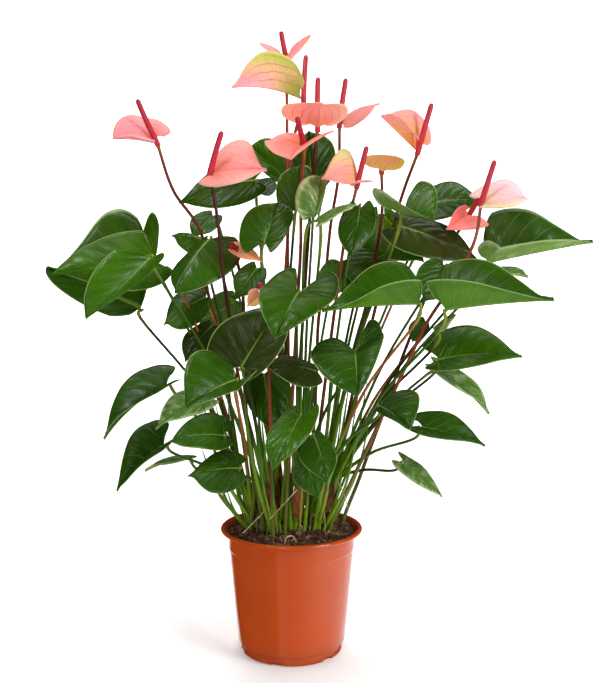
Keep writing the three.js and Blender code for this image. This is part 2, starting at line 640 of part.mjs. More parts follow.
function bendClear(joints, stems) {
  const bent = joints.map((joint) => joint.clone());
  const links = joints.slice(1).map((joint, index) => new THREE.Line3(joints[index], joint));
  const spots = stems.filter(({ point }) => links.some((link) => link
    .closestPointToPoint(point, true, new THREE.Vector3())
    .distanceTo(point) < bend.field));
  for (let round = 0; round < bend.rounds; round += 1) {
    const pushes = bent.map(() => new THREE.Vector3());
    const press = (index, push) => {
      if (push.length() > pushes[index].length()) pushes[index].copy(push);
    };
    for (let index = 0; index + 1 < bent.length; index += 1) {
      for (let part = 0; part < bend.parts; part += 1) {
        const share = part / bend.parts;
        const place = bent[index].clone().lerp(bent[index + 1], share);
        let deepest = 0;
        let push = null;
        for (const spot of spots) {
          const reach = spot.radius + stalkFootRadius + stemClearance;
          const nearness = reach - place.distanceTo(spot.point);
          if (nearness > deepest) {
            deepest = nearness;
            push = place.clone().sub(spot.point).normalize().multiplyScalar(nearness);
          }
        }
        if (push) {
          press(index, push.clone().multiplyScalar(1 - share));
          press(index + 1, push.clone().multiplyScalar(share));
        }
      }
    }
    for (let index = 1; index + 1 < bent.length; index += 1) bent[index].add(pushes[index]);
  }
  return bent;
}

function stalkRadiusAt(share) {
  return THREE.MathUtils.lerp(stalkFootRadius, stalkRadius, share);
}

function bloomSeat(bloom) {
  const frame = bladeFrame(bloom);
  const spadix = at(bloom.spadix).sub(frame.junction).normalize();
  const back = spadix.dot(frame.rearward);
  const clearance = spadixBaseRadius + seatGap + (bladeThickness / 2) * Math.abs(back);
  return frame.junction.clone().addScaledVector(frame.rearward, clearance / Math.sqrt(1 - back * back));
}

// Stalks take their places one after another, each giving way to the stems that are already there
function routeStalks() {
  const spots = [
    ...canes.flatMap((cane) => stemSpots(canePoints(cane), caneRadiusAt)),
    ...[...leaves, ...innerLeaves].flatMap((shape) => stemSpots(petioleJoints(shape), petioleRadiusAt)),
    ...[...leaves, ...innerLeaves].flatMap(bladeSpots),
  ];
  return blooms.map((bloom) => {
    const [x, y] = bloom.foot;
    const ground = soilTopAt(x, y);
    const collar = new THREE.Vector3(x, y, ground + stalkCollar);
    const path = stemPath([collar, ...bloom.stalk.map(at).reverse(), bloomSeat(bloom)]);
    const joints = bendClear(path.getSpacedPoints(stalkJoints), spots);
    const whole = [new THREE.Vector3(x, y, ground - holeDepth), ...joints];
    spots.push(...stemSpots(whole, stalkRadiusAt));
    return whole;
  });
}

function spadixRadiusAt(share) {
  return share === 1 ? spadixTipRadius * 0.5
    : THREE.MathUtils.lerp(spadixBaseRadius, spadixTipRadius, share);
}

// A corner of the spadix points at the spathe's junction, so that the two all but touch there
function makeStalk(bloom, joints) {
  const seat = bloomSeat(bloom);
  const tip = at(bloom.spadix);
  const spadix = [-0.06, 0.12, 0.4, 0.7, 0.93, 1].map((share) => seat.clone().lerp(tip, share));
  return fuse([
    tube(joints, stalkSides, stalkRadiusAt),
    tube(spadix, stalkSides, spadixRadiusAt, bladeFrame(bloom).along),
  ]);
}

// Soil: a lumpy bark mound that fills the pot, with plain holes for the canes and stalks

function makeSoil() {
  const wallGap = potWall + seatGap;
  const topRings = 4;
  const sectors = 20;
  // Radius and height of the soil's side, from its brim in the flare down to the floor
  const side = [
    [collarRadius - wallGap + 0.8, soilLevel + 2],
    [collarRadius - wallGap - 0.8, soilLevel - 1],
    [potFootRadius - footStep - wallGap - 3.6, floorThickness + seatGap],
  ];
  const points = [new THREE.Vector3(0, 0, soilTopAt(0, 0))];
  const addRing = (radius, height) => {
    for (let sector = 0; sector < sectors; sector += 1) {
      const angle = (sector * 2 * Math.PI) / sectors;
      const [x, y] = [radius * Math.cos(angle), radius * Math.sin(angle)];
      points.push(new THREE.Vector3(x, y, height ?? soilTopAt(x, y)));
    }
  };
  for (let ring = 1; ring < topRings; ring += 1) {
    addRing((side[0][0] * ring) / topRings);
  }
  side.forEach(([radius, height]) => addRing(radius, height));
  points.push(new THREE.Vector3(0, 0, floorThickness + seatGap));
  const rings = topRings - 1 + side.length;
  const spot = (ring, sector) => 1 + (ring - 1) * sectors + (sector % sectors);
  const faces = [];
  for (let sector = 0; sector < sectors; sector += 1) {
    faces.push([0, spot(1, sector), spot(1, sector + 1)]);
    for (let ring = 1; ring < rings; ring += 1) {
      faces.push([spot(ring, sector), spot(ring + 1, sector), spot(ring + 1, sector + 1)]);
      faces.push([spot(ring, sector), spot(ring + 1, sector + 1), spot(ring, sector + 1)]);
    }
    faces.push([spot(rings, sector), points.length - 1, spot(rings, sector + 1)]);
  }
  const holes = [
    ...canes.map((cane) => {
      const [bottom, ground, head] = canePoints(cane);
      return tube([bottom.setZ(bottom.z - seatGap), ground, head], caneSides,
        (share) => caneRadiusAt(share) + seatGap);
    }),
    ...makeRhizome(rhizomeRadius + seatGap),
    ...stalkRoutes.map(([foot, collar]) => tube([foot.clone().setZ(foot.z - seatGap), collar], stalkSides,
      () => stalkFootRadius + seatGap)),
  ];
  return cut(indexedGeometry(points, faces), holes);
}

// Assembly

const plant = new THREE.Group();
const stalkRoutes = routeStalks();

function addNode(name, geometry, colour, roughness) {
  const mesh = new THREE.Mesh(geometry, material(colour, roughness));
  mesh.name = name;
  plant.add(mesh);
}

addNode('pot', makePot(), colours.pot, 0.42);
addNode('soil', makeSoil(), colours.soil, 0.95);
addNode('crown', fuse([
  ...canes.map(makeCane),
  ...makeRhizome(rhizomeRadius),
  ...leaves.map(makePetiole),
  ...innerLeaves.flatMap(makeInnerLeaf),
]), colours.stem, 0.5);
for (const shape of leaves) {
  addNode(shape.name, makeBlade(shape, petioleRadius), colours.leaf[shape.tone ?? 'dark'], 0.35);
}
blooms.forEach((bloom, index) => {
  addNode(`${bloom.name}_stalk`, makeStalk(bloom, stalkRoutes[index]), colours.stalk, 0.45);
  addNode(`${bloom.name}_spathe`, makeBlade(bloom, spadixBaseRadius), colours.spathe[bloom.tone], 0.4);
});

export default plant;
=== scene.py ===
# Potted flamingo flower: the looks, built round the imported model.
# Metres, +Z up, +Y away from the viewer, origin at the centre of the pot's underside.
import math
import bpy
import bmesh
import numpy as np
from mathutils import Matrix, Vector, noise


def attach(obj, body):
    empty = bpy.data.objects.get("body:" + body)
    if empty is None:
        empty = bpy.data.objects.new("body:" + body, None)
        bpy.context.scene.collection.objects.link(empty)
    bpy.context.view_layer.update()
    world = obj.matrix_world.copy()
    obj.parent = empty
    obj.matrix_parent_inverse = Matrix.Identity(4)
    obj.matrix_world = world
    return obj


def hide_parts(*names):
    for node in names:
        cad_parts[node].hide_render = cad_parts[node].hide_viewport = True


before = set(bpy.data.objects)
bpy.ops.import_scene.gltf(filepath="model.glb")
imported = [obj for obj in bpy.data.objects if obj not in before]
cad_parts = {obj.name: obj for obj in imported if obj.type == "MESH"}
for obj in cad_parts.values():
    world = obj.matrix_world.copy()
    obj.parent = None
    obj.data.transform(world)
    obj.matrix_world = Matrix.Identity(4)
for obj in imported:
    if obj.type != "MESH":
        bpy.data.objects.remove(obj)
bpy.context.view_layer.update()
print("frame loaded:", len(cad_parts), "nodes")

mm = 0.001
gap = 0.3 * mm                  # between pieces that touch
laidMap = "laid"
seeds = {"leaf": 100, "innerLeaf": 500, "bloom": 900, "foot": 23, "chips": 41, "strands": 7}

# The viewpoint: places in the plant are held as picture column and row, in a 600 by 683 frame, and
# the depth in millimetres behind the pot's middle
view = {"distance": 1.150, "height": 0.484, "pitch": math.radians(5.5), "focal": 977,
        "column": 300, "row": 341.5, "potColumn": 291.25, "width": 600, "tall": 683}
view["side"] = (view["column"] - view["potColumn"]) * view["distance"] / view["focal"]


def at(place):
    column, row, depth = place
    across = (column - view["column"]) / view["focal"]
    down = (row - view["row"]) / view["focal"]
    ahead = math.cos(view["pitch"]) - down * math.sin(view["pitch"])
    rise = -math.sin(view["pitch"]) - down * math.cos(view["pitch"])
    reach = (view["distance"] + depth * mm) / ahead
    return np.array([view["side"] + across * reach, depth * mm, view["height"] + rise * reach])


# Leaves and blooms: where each was sighted

def seen(name, tone, arch, junction, tip, left, right, **more):
    # arch is in millimetres; junction, tip and the widest points of both halves are places. A pair
    # in more is for the left and the right half: back is how far a lobe reaches back and full how
    # round the half is, as shares; lift raises the lobe and cup the half, in millimetres
    return {"name": name, "tone": tone, "arch": arch, "junction": junction, "tip": tip,
            "left": left, "right": right, **more}


leaves = [
    seen("left_back", "dark", 2, (141, 309, 30), (46, 268, -15), (98, 312, 0), (128, 212, 85), cane=0,
         back=(0.05, 0.12), full=(0.6, -0.4), bend=(0, 30, 0)),
    seen("left_bright", "bright", 3, (156, 260, -15), (52, 274, -60), (139, 291, -25), (133, 232, 8),
         cane=0, back=(0.2, 0.1), lift=(0, 48), full=(-0.3, 0.3)),
    seen("left_front", "bright", 6, (151, 257, -62), (86, 319, -108), (156, 266, -54), (106, 257, -78),
         cane=1, back=(0.1, 0.02), full=(0, 0.3)),
    seen("left_dark", "dark", 6, (210, 238, -8), (175, 293, -62), (238, 266, -22), (181, 262, 2), cane=1,
         full=(0.4, 0)),
    seen("top_left", "dark", 7, (256, 180, 50), (179, 203, 0), (232, 208, 28), (238, 162, 82), cane=2),
    seen("top_centre", "dark", 5, (312, 183, 62), (309, 131, 105), (288, 165, 78), (336, 157, 72),
         cane=4),
    seen("centre_cupped", "pale", 4, (314, 219, -45), (320, 176, -5), (295, 194, -40), (323, 198, -18),
         cane=3, cup=3),
    seen("centre_upright", "dark", 5, (360, 206, -22), (350, 257, -60), (375, 222, -25), (338, 226, -42),
         cane=5),
    seen("right_pale", "bright", 1, (403, 214, -22), (434, 220, -40), (424, 180, -8), (376, 187, -52),
         cane=5, under="pale", back=(0.1, 0.26), full=(0.8, 0), cup=(0, -7)),
    seen("right_flat", "dark", 5, (428, 205, 66), (482, 201, 52), (441, 184, 98), (440, 221, 42), cane=6),
    seen("far_right_upper", "dark", 1, (487, 263, -2), (593, 242, -28), (502, 209, 34), (512, 245, -40),
         cane=6, under="pale", back=(0.06, 0.16), lift=(0, 22), full=(-0.35, 0.1)),
    seen("right_olive", "olive", 5, (401, 226, 12), (478, 261, 18), (432, 222, 42), (412, 256, -14),
         cane=5),
    seen("far_right_dark", "dark", 2, (446, 310, -70), (554, 300, -90), (462, 260, -30), (437, 280, -112),
         cane=6, under="bright", back=(0.1, 0.03), full=(-0.25, -0.4)),
    seen("right_shaded", "dark", 3, (446, 266, -26), (424, 302, -56), (447, 290, -38), (418, 269, -36),
         cane=6),
    seen("centre_folded", "dark", 2, (419, 304, -84), (322, 311, -126), (411, 281, -128), (393, 263, -54),
         cane=5, under="bright", back=(0.02, 0.1), full=(-0.5, -0.2)),
    seen("centre_glossy", "dark", 9, (356, 351, -96), (358, 396, -168), (384, 336, -92), (311, 356, -112),
         cane=4, back=(0.8, 0.5), full=0.8),
    seen("centre_heart", "dark", 9, (299, 292, -86), (275, 339, -150), (336, 298, -92), (261, 290, -104),
         cane=3, back=0.7, full=0.3),
    seen("centre_olive", "olive", 6, (241, 368, -100), (283, 302, -96), (212, 336, -92), (280, 352, -102),
         cane=1),
    seen("centre_left", "dark", 7, (236, 380, -122), (186, 408, -164), (234, 393, -140), (199, 352, -118),
         cane=0, back=(0.45, 0.2), lift=(14, 0), full=0.3),
    seen("low_left_far", "dark", 8, (168, 385, -30), (104, 439, -78), (150, 399, -66), (141, 374, -10),
         cane=0, full=(0.5, 0)),
    seen("low_left_tip", "dark", 6, (165, 445, -15), (117, 491, -56), (157, 456, -48), (143, 426, 4),
         cane=0),
    seen("low_left_round", "dark", 6, (224, 436, -62), (171, 442, -98), (211, 451, -92), (214, 415, -38),
         cane=0, full=0.5),
    seen("low_left_bottom", "dark", 5, (239, 468, -76), (188, 476, -116), (222, 494, -96),
         (226, 452, -52), cane=1),
    seen("low_centre_bright", "bright", 6, (300, 416, -110), (273, 470, -152), (314, 428, -116),
         (270, 432, -124), cane=3, back=0.34),
    seen("low_centre_dark", "dark", 5, (314, 436, -94), (326, 484, -130), (333, 450, -88),
         (297, 454, -108), cane=3),
    seen("right_glossy", "bright", 6, (438, 360, -10), (522, 357, -42), (456, 328, 24), (462, 371, -46),
         cane=6),
    seen("low_right_inner", "dark", 5, (379, 406, -84), (410, 430, -128), (413, 391, -74),
         (386, 419, -108), cane=5, back=0.2, full=0.4),
    seen("low_right_outer", "dark", 3, (421, 427, -40), (485, 446, -66), (440, 413, -14), (434, 438, -72),
         cane=6),
    seen("low_right_bottom", "pale", 3, (403, 463, -30), (442, 497, -54), (415, 461, -10),
         (405, 477, -50), cane=6),
]
# Smaller and half hidden leaves, which the model holds as one body with their petioles
innerLeaves = [
    seen("", "pale", 2, (162, 276, 8), (134, 281, -25), (150, 268, 12), (148, 286, -18), cane=0),
    seen("", "pale", 6, (210, 400, -35), (156, 429, -82), (196, 416, -60), (184, 391, -18), cane=0),
    seen("", "bright", 5, (206, 297, 22), (164, 325, -20), (192, 327, -5), (184, 291, 45), cane=1),
    seen("", "olive", 4, (212, 326, 5), (185, 362, -25), (212, 350, -20), (189, 333, 5), cane=1),
    seen("", "bright", 3, (205, 240, 40), (172, 236, 20), (194, 256, 22), (190, 236, 62), cane=0),
    seen("", "bright", 3, (213, 216, 85), (192, 238, 60), (218, 228, 62), (196, 216, 95), cane=2),
    seen("", "bright", 5, (284, 178, 112), (250, 146, 150), (258, 168, 120), (281, 146, 128), cane=2),
    seen("", "dark", 5, (296, 210, 22), (300, 165, 48), (276, 190, 28), (312, 184, 36), cane=2),
    seen("", "dark", 5, (264, 243, -52), (279, 202, -14), (241, 224, -48), (291, 225, -34), cane=2,
         back=0.36),
    seen("", "pale", 2, (319, 223, -70), (356, 205, -50), (331, 210, -50), (335, 219, -88), cane=4),
    seen("", "bright", 6, (384, 216, 84), (424, 262, 58), (410, 224, 76), (370, 250, 66), cane=5),
    seen("", "pale", 3, (191, 458, 22), (145, 471, 0), (172, 463, -12), (175, 458, 40), cane=0),
    seen("", "dark", 3, (306, 464, -58), (318, 498, -84), (322, 474, -58), (294, 480, -70), cane=3),
    seen("", "dark", 5, (264, 374, 0), (272, 430, -30), (292, 392, 4), (246, 396, 0), cane=2),
    seen("", "olive", 5, (316, 371, -50), (266, 366, -72), (300, 388, -76), (294, 358, -44), cane=3),
    seen("", "pale", 4, (434, 368, 14), (489, 414, -14), (461, 371, 34), (451, 385, -14), cane=6),
    seen("", "dark", 2, (426, 322, 30), (412, 342, 14), (424, 338, 18), (411, 323, 36), cane=6),
    seen("", "pale", 2, (434, 329, -34), (456, 315, -48), (445, 319, -22), (449, 327, -50), cane=6),
    seen("", "pale", 3, (470, 275, 14), (528, 277, 22), (499, 267, 40), (500, 277, 2), cane=6),
    seen("", "dark", 4, (257, 268, -50), (237, 299, -66), (262, 286, -56), (238, 272, -45), cane=2),
    seen("", "bright", 4, (340, 262, 46), (332, 298, 16), (357, 276, 48), (318, 276, 30), cane=4),
    seen("", "dark", 8, (236, 300, 96), (196, 322, 168), (212, 296, 140), (228, 330, 120), cane=2),
    seen("", "dark", 9, (290, 300, 120), (282, 338, 206), (262, 310, 150), (312, 312, 150), cane=2),
    seen("", "dark", 8, (420, 246, 96), (446, 258, 170), (412, 228, 140), (444, 240, 116), cane=6),
    seen("", "dark", 8, (256, 196, 130), (246, 190, 210), (232, 186, 160), (276, 184, 160), cane=2),
    seen("", "dark", 5, (378, 214, 90), (352, 262, 70), (382, 244, 84), (360, 226, 84), cane=5),
    seen("", "dark", 5, (392, 252, 64), (343, 276, 26), (374, 286, 44), (362, 247, 70), cane=5),
]
blooms = [
    seen("far_left", "pink", 2, (154, 143, 20), (113, 139, -10), (138, 139, -32), (139, 117, 40),
         back=(0.15, 0.58), lift=(0, 8), full=(0, 0.9), spadix=(137, 99, 5)),
    seen("left", "pink", 3, (213, 173, -50), (267, 171, -75), (238, 141, -18), (224, 187, -78),
         back=(0.16, 0.34), full=(-0.3, 0), spadix=(222, 131, -55)),
    seen("top_back", "pink", 0, (286, 57, 80), (288, 65, 46), (311, 34, 74), (259, 43, 74),
         spadix=(281, 31, 80)),
    seen("top_green", "green", 9, (301, 99, 40), (232, 88, 0), (283, 56, 10), (277, 88, 50), back=0.12,
         spadix=(306, 55, 62)),
    seen("top_centre", "pink", 3, (318, 127, 6), (321, 104, -42), (348, 114, -10), (281, 112, -14),
         back=0.16, spadix=(318, 77, 18)),
    seen("top_right", "pink", 2, (342, 124, 48), (380, 104, 10), (350, 113, 68), (356, 125, 20), back=0.1,
         full=(-0.3, 0), spadix=(346, 78, 50)),
    seen("centre_coral", "coral", 3, (304, 147, -30), (291, 160, -84), (334, 131, -42), (267, 142, -48),
         back=(0.3, 0.9), lift=(0, 8), full=(0, 0.7), spadix=(297, 117, -50)),
    seen("right_folded", "orange", 0, (416, 150, 10), (381, 116, -22), (404, 122, -24), (422, 116, 34),
         back=0.3, lift=3, notch=1.2, spadix=(432, 103, 8)),
    seen("centre_pale", "blush", 2, (355, 186, 0), (321, 179, -44), (342, 184, -40), (347, 150, 14),
         back=(0.8, 0.1), lift=(20, 0), spadix=(367, 146, 2)),
    seen("right_orange", "orange", 2, (383, 171, 36), (396, 157, -8), (403, 166, 32), (364, 160, 18),
         back=0.08, spadix=(382, 157, 64)),
    seen("far_right", "blush", 2, (484, 204, -6), (528, 200, -36), (500, 181, 26), (505, 208, -36),
         back=(0.5, 0.3), spadix=(495, 160, -6)),
    seen("right_coral", "coral", 1, (468, 215, 24), (446, 230, -16), (487, 227, -4), (461, 206, 28),
         back=0.15, notch=1.25, spadix=(479, 198, 18)),
    seen("hidden_orange", "orange", 1, (238, 251, -36), (262, 262, -44), (244, 244, -28), (240, 257, -52),
         back=0.4, spadix=(231, 243, -44)),
    seen("hidden_green", "orange", 1, (262, 294, -72), (247, 307, -92), (262, 302, -86), (251, 290, -80),
         back=0.2, spadix=(260, 284, -88)),
]

# Shader building

def paint(code):
    # A hex colour as the linear values that a socket takes
    parts = [int(code[i:i + 2], 16) / 255 for i in (0, 2, 4)]
    return [c / 12.92 if c <= 0.04045 else ((c + 0.055) / 1.055) ** 2.4 for c in parts] + [1]


class Wire:
    # A socket that can stand in a sum
    def __init__(self, finish, socket):
        self.finish = finish
        self.socket = socket

    def maths(self, operation, *values):
        return self.finish.node("ShaderNodeMath", {"operation": operation},
                                dict(enumerate(values)))

    def __add__(self, other):
        return self.maths("ADD", self, other)

    def __sub__(self, other):
        return self.maths("SUBTRACT", self, other)

    def __rsub__(self, other):
        return self.maths("SUBTRACT", other, self)

    def __mul__(self, other):
        return self.maths("MULTIPLY", self, other)

    def __truediv__(self, other):
        return self.maths("DIVIDE", self, other)

    def __rtruediv__(self, other):
        return self.maths("DIVIDE", other, self)

    def __abs__(self):
        return self.maths("ABSOLUTE", self)

    __radd__ = __add__
    __rmul__ = __mul__

    def part(self):
        return self.maths("FRACT", self)

    def floor(self):
        return self.maths("FLOOR", self)

    def sine(self):
        return self.maths("SINE", self)

    def step(self, low, high):
        # 0 below low, 1 above high, eased between
        return self.finish.node("ShaderNodeMapRange", {"interpolation_type": "SMOOTHSTEP"},
                                {"Value": (self - low) / (high - low)})

    def lines(self, width, ease=1):
        # Lines halfway between the whole numbers
        return (1 - abs(self.part() - 0.5) / width).step(0, ease)


class Finish:
    # A material being put together
    def __init__(self, name):
        self.material = bpy.data.materials.new(name)
        self.material.use_nodes = True
        self.tree = self.material.node_tree
        self.tree.nodes.clear()

    def node(self, kind, settings=None, sockets=None, out=0):
        node = self.tree.nodes.new(kind)
        for key, value in (settings or {}).items():
            setattr(node, key, value)
        for key, value in (sockets or {}).items():
            if isinstance(value, Wire):
                self.tree.links.new(value.socket, node.inputs[key])
            else:
                node.inputs[key].default_value = paint(value) if isinstance(value, str) else value
        return Wire(self, node.outputs[out]) if node.outputs else None

    def mix(self, share, first, second):
        return self.node("ShaderNodeMix", {"data_type": "RGBA"}, {0: share, 6: first, 7: second}, 2)

    def over(self, tint, *coats):
        # Colours laid over a tint in turn, each where its mask is
        for mask, colour in coats:
            tint = self.mix(mask, tint, colour)
        return tint

    def grey(self, level):
        return self.node("ShaderNodeCombineColor", None, {0: level, 1: level, 2: level})

    def parts(self, vector):
        split = self.node("ShaderNodeSeparateXYZ", None, {0: vector})
        return [Wire(self, output) for output in split.socket.node.outputs]

    def laid(self):
        # The two ways across a laid out surface
        return self.parts(self.node("ShaderNodeUVMap", {"uv_map": laidMap}))[:2]

    def spot(self):
        return self.node("ShaderNodeTexCoord", out="Object")

    def place(self, scale=(1, 1, 1)):
        return self.node("ShaderNodeMapping", None, {0: self.spot(), "Scale": scale})

    def noise(self, scale, detail=3, rough=0.5, spot=None):
        return self.node("ShaderNodeTexNoise", None, {
            "Vector": spot or self.place(), "Scale": scale, "Detail": detail, "Roughness": rough})

    def grain(self, scale, detail, squeeze):
        # Noise drawn out upwards
        return self.noise(scale, detail, 0.6, self.place((1, 1, squeeze)))

    def streaks(self, lengthwise, crosswise, detail=3):
        # Noise drawn out over a laid out surface, another pattern at each place in the plant
        run, across = self.laid()
        return self.noise(1, detail, 0.55, self.node("ShaderNodeCombineXYZ", None, {
            0: run * lengthwise, 1: across * crosswise, 2: self.noise(5, 0) * 12}))

    def cells(self, scale, feature="DISTANCE_TO_EDGE"):
        return self.node("ShaderNodeTexVoronoi", {"feature": feature},
                         {"Vector": self.place(), "Scale": scale})

    def own(self, run):
        # A number for each stem of a piece, whose layout starts at another whole number
        return self.node("ShaderNodeTexWhiteNoise", {"noise_dimensions": "1D"}, {"W": run.floor()})

    def surface(self, tint, rough, gloss=0.5, relief=None, glow=None):
        # relief is a height, how deep it is in metres and how strong, glow a colour and its strength
        sockets = {"Base Color": tint, "Roughness": rough, "Specular IOR Level": gloss}
        if relief:
            sockets["Normal"] = self.node("ShaderNodeBump", None, dict(zip(
                ("Height", "Distance", "Strength"), relief)))
        if glow:
            sockets.update(zip(("Emission Color", "Emission Strength"), glow))
        shader = self.node("ShaderNodeBsdfPrincipled", None, sockets)
        self.node("ShaderNodeOutputMaterial", None, {0: shader})
        return self.material


def edgeFinish(name, scale, colour, speckle, share, rough):
    finish = Finish(name)
    mottle = finish.noise(scale, 2)
    return finish.surface(finish.mix(mottle * share, colour, speckle), rough + mottle * 0.1)


# Meshes

def makePiece(name, materials, points, faces, uvs=None, slots=None, smooth=True):
    mesh = bpy.data.meshes.new(name)
    mesh.from_pydata([tuple(p) for p in points], [], [tuple(f) for f in faces])
    if uvs is not None:
        layer = mesh.uv_layers.new(name=laidMap)
        layer.uv.foreach_set("vector", np.asarray(uvs, np.float32).ravel())
    if slots is not None:
        mesh.polygons.foreach_set("material_index", np.asarray(slots, np.int32))
    mesh.polygons.foreach_set("use_smooth", np.full(len(mesh.polygons), smooth))
    for material in materials:
        mesh.materials.append(material)
    piece = bpy.data.objects.new(name, mesh)
    bpy.context.scene.collection.objects.link(piece)
    return piece


def quads(rows, columns, closed=False, flip=False):
    # The faces between rows of points, each as the rows and columns of its corners
    order = (0, 3, 2, 1) if flip else (0, 1, 2, 3)
    faces = []
    for row in range(rows - 1):
        for column in range(columns if closed else columns - 1):
            corners = ((row, column), (row, column + 1), (row + 1, column + 1), (row + 1, column))
            faces.append([corners[i] for i in order])
    return faces


def numbered(faces, columns, first=0):
    return [[first + row * columns + column % columns for row, column in face] for face in faces]


def ends(count, rows):
    # The first and the last of a closed grid's rows, as faces
    return [list(range(count))[::-1], list(range(count * (rows - 1), count * rows))]


def turns(count):
    angles = [2 * math.pi * index / count for index in range(count)]
    return [(math.cos(angle), math.sin(angle)) for angle in angles]


class Stock:
    # Points, faces, layout and material numbers of a mesh that is put together from several parts
    def __init__(self):
        self.points, self.faces, self.uvs, self.slots = [], [], [], []

    def add(self, points, faces, uvs=None, slot=0):
        base = len(self.points)
        self.points.extend(points)
        for number, face in enumerate(faces):
            self.faces.append([index + base for index in face])
            self.uvs.extend(uvs[number] if uvs else [(0, 0)] * len(face))
            self.slots.append(slot)

    def addGrid(self, points, columns, layout, closed=False, flip=False, slot=0):
        # layout gives the place of a row and column; a closed grid is a tube and has ends
        rows = len(points) // columns
        grid = quads(rows, columns, closed, flip)
        faces = numbered(grid, columns)
        uvs = [[layout(row, column) for row, column in face] for face in grid]
        if closed:
            faces += ends(columns, rows)
            uvs += [[layout(row, columns / 2)] * columns for row in (0, rows - 1)]
        self.add(points, faces, uvs, slot)

    def piece(self, name, materials, smooth=True):
        return makePiece(name, materials, self.points, self.faces, self.uvs, self.slots, smooth)


def weld(piece, distance=1e-6):
    body = bmesh.new()
    body.from_mesh(piece.data)
    bmesh.ops.remove_doubles(body, verts=body.verts, dist=distance)
    bmesh.ops.dissolve_degenerate(body, edges=body.edges, dist=distance)
    body.to_mesh(piece.data)
    body.free()


def thicken(piece, thickness):
    weld(piece)
    solid = piece.modifiers.new("thickness", "SOLIDIFY")
    solid.thickness = thickness
    solid.offset = 0
    solid.use_even_offset = False
    solid.material_offset = 1
    solid.material_offset_rim = 2
    return piece


def dress(piece, node, slot):
    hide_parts(node)
    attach(piece, "root")


def unit(vector):
    return vector / max(1e-12, np.linalg.norm(vector))


def levelWay(rng):
    angle = rng.uniform(0, 2 * math.pi)
    return np.array([math.cos(angle), math.sin(angle), 0])


def evenCurve(values, places):
    # A smooth curve through evenly numbered values
    values = np.asarray(values, float)
    last = len(values) - 1
    index = np.clip(np.floor(places).astype(int), 0, last - 1)
    share = places - index
    before, start = values[np.maximum(index - 1, 0)], values[index]
    end, after = values[index + 1], values[np.minimum(index + 2, last)]
    return start + 0.5 * share * (end - before + share * (
        2 * before - 5 * start + 4 * end - after + share * (3 * (start - end) + after - before)))


def stemCurve(points, count):
    # The stems' curve: a centripetal spline, with its ends run on straight
    points = [np.asarray(point, float) for point in points]
    points = [2 * points[0] - points[1], *points, 2 * points[-1] - points[-2]]
    found = []
    for place in np.linspace(0, 1, count):
        along = place * (len(points) - 3)
        index = min(int(along), len(points) - 4)
        share = along - index
        a, b, c, d = points[index:index + 4]
        gaps = [max(1e-4, np.linalg.norm(q - p)) ** 0.5 for p, q in ((a, b), (b, c), (c, d))]
        start = ((b - a) / gaps[0] - (c - a) / (gaps[0] + gaps[1]) + (c - b) / gaps[1]) * gaps[1]
        end = ((c - b) / gaps[1] - (d - b) / (gaps[1] + gaps[2]) + (d - c) / gaps[2]) * gaps[1]
        found.append(b + share * (start + share * (
            3 * (c - b) - 2 * start - end + share * (2 * (b - c) + start + end))))
    return np.array(found)


# How far out and how narrow the rings of a tube's round end are, in shares of its radius
tubeEnd = ((0.5, 0.87), (0.87, 0.5), (1.0, 0.08))


def tube(stock, joints, radiusAt, sides=10, offset=0):
    # A closed tube along joints; its layout has the share round it, moved by offset, and along it
    last = len(joints) - 1
    lengths = np.r_[0, np.cumsum(np.linalg.norm(np.diff(joints, axis=0), axis=1))]
    rings = []
    across = np.array([1, 0.2, 0.1])
    for index, share in enumerate(lengths / lengths[-1]):
        ahead = unit(joints[min(last, index + 1)] - joints[max(0, index - 1)])
        across = unit(across - ahead * across.dot(ahead))
        rings.append((joints[index], ahead, across, radiusAt(share), share))
    whole = list(rings)
    for end, way in ((0, -1), (last, 1)):
        joint, ahead, across, radius, share = rings[end]
        for out, narrow in tubeEnd:
            ring = (joint + ahead * way * radius * out, ahead, across, radius * narrow, share)
            whole.insert(0 if way < 0 else len(whole), ring)
    points = []
    for joint, ahead, across, radius, share in whole:
        beside = np.cross(ahead, across)
        points += [joint + radius * (across * x + beside * y) for x, y in turns(sides)]
    stock.addGrid(points, sides, lambda row, side: (side / sides + offset, whole[row][4]), True)


# Blades: the leaves' and spathes' folded hearts, finely made

blade = {"outline": [(-0.15, 0.3), (-0.26, 0.52), (-0.15, 0.86), (0.1, 1.0), (0.38, 0.9),
                     (0.67, 0.54), (0.88, 0.17), (1.0, 0.0)],
         "feet": [0, 0, 0, 0, 0.22, 0.52, 0.8, 1.0],
         "lobeRows": 3, "lobeClear": 0.04, "reach": 0.26, "widest": 0.1, "sinusEase": 1.3,
         "rowsEach": 8, "columns": 13, "edgeEase": 1.35, "thickness": 0.0008, "veinRate": 1.75,
         "veinSweep": 0.42, "ribWidth": 0.0016, "quiltedFrom": 0.03, "droopFrom": 0.86}


def bladeFrame(shape):
    junction = at(shape["junction"])
    along = at(shape["tip"]) - junction
    foot = junction + along * blade["widest"]
    out = {"left": at(shape["left"]) - foot, "right": at(shape["right"]) - foot}
    up = unit(np.cross(out["right"] - out["left"], along))
    return {"junction": junction, "along": along, "out": out, "up": up, "rearward": -unit(along)}


def onSide(shape, key, side, usual=0):
    value = shape.get(key, usual)
    return value[0 if side == "left" else 1] if isinstance(value, tuple) else value


def sinusShare(shape, held, side, stemRadius):
    stem = unit(at(shape["spadix"]) - held["junction"]) if "spadix" in shape else held["up"]
    lean = max(0.4, abs(stem.dot(held["up"])))
    lateral = unit(np.cross(held["up"], held["along"]))
    reach = stemRadius * blade["sinusEase"] * shape.get("notch", 1) / lean + gap
    return min(0.7, reach / abs(held["out"][side].dot(lateral)))


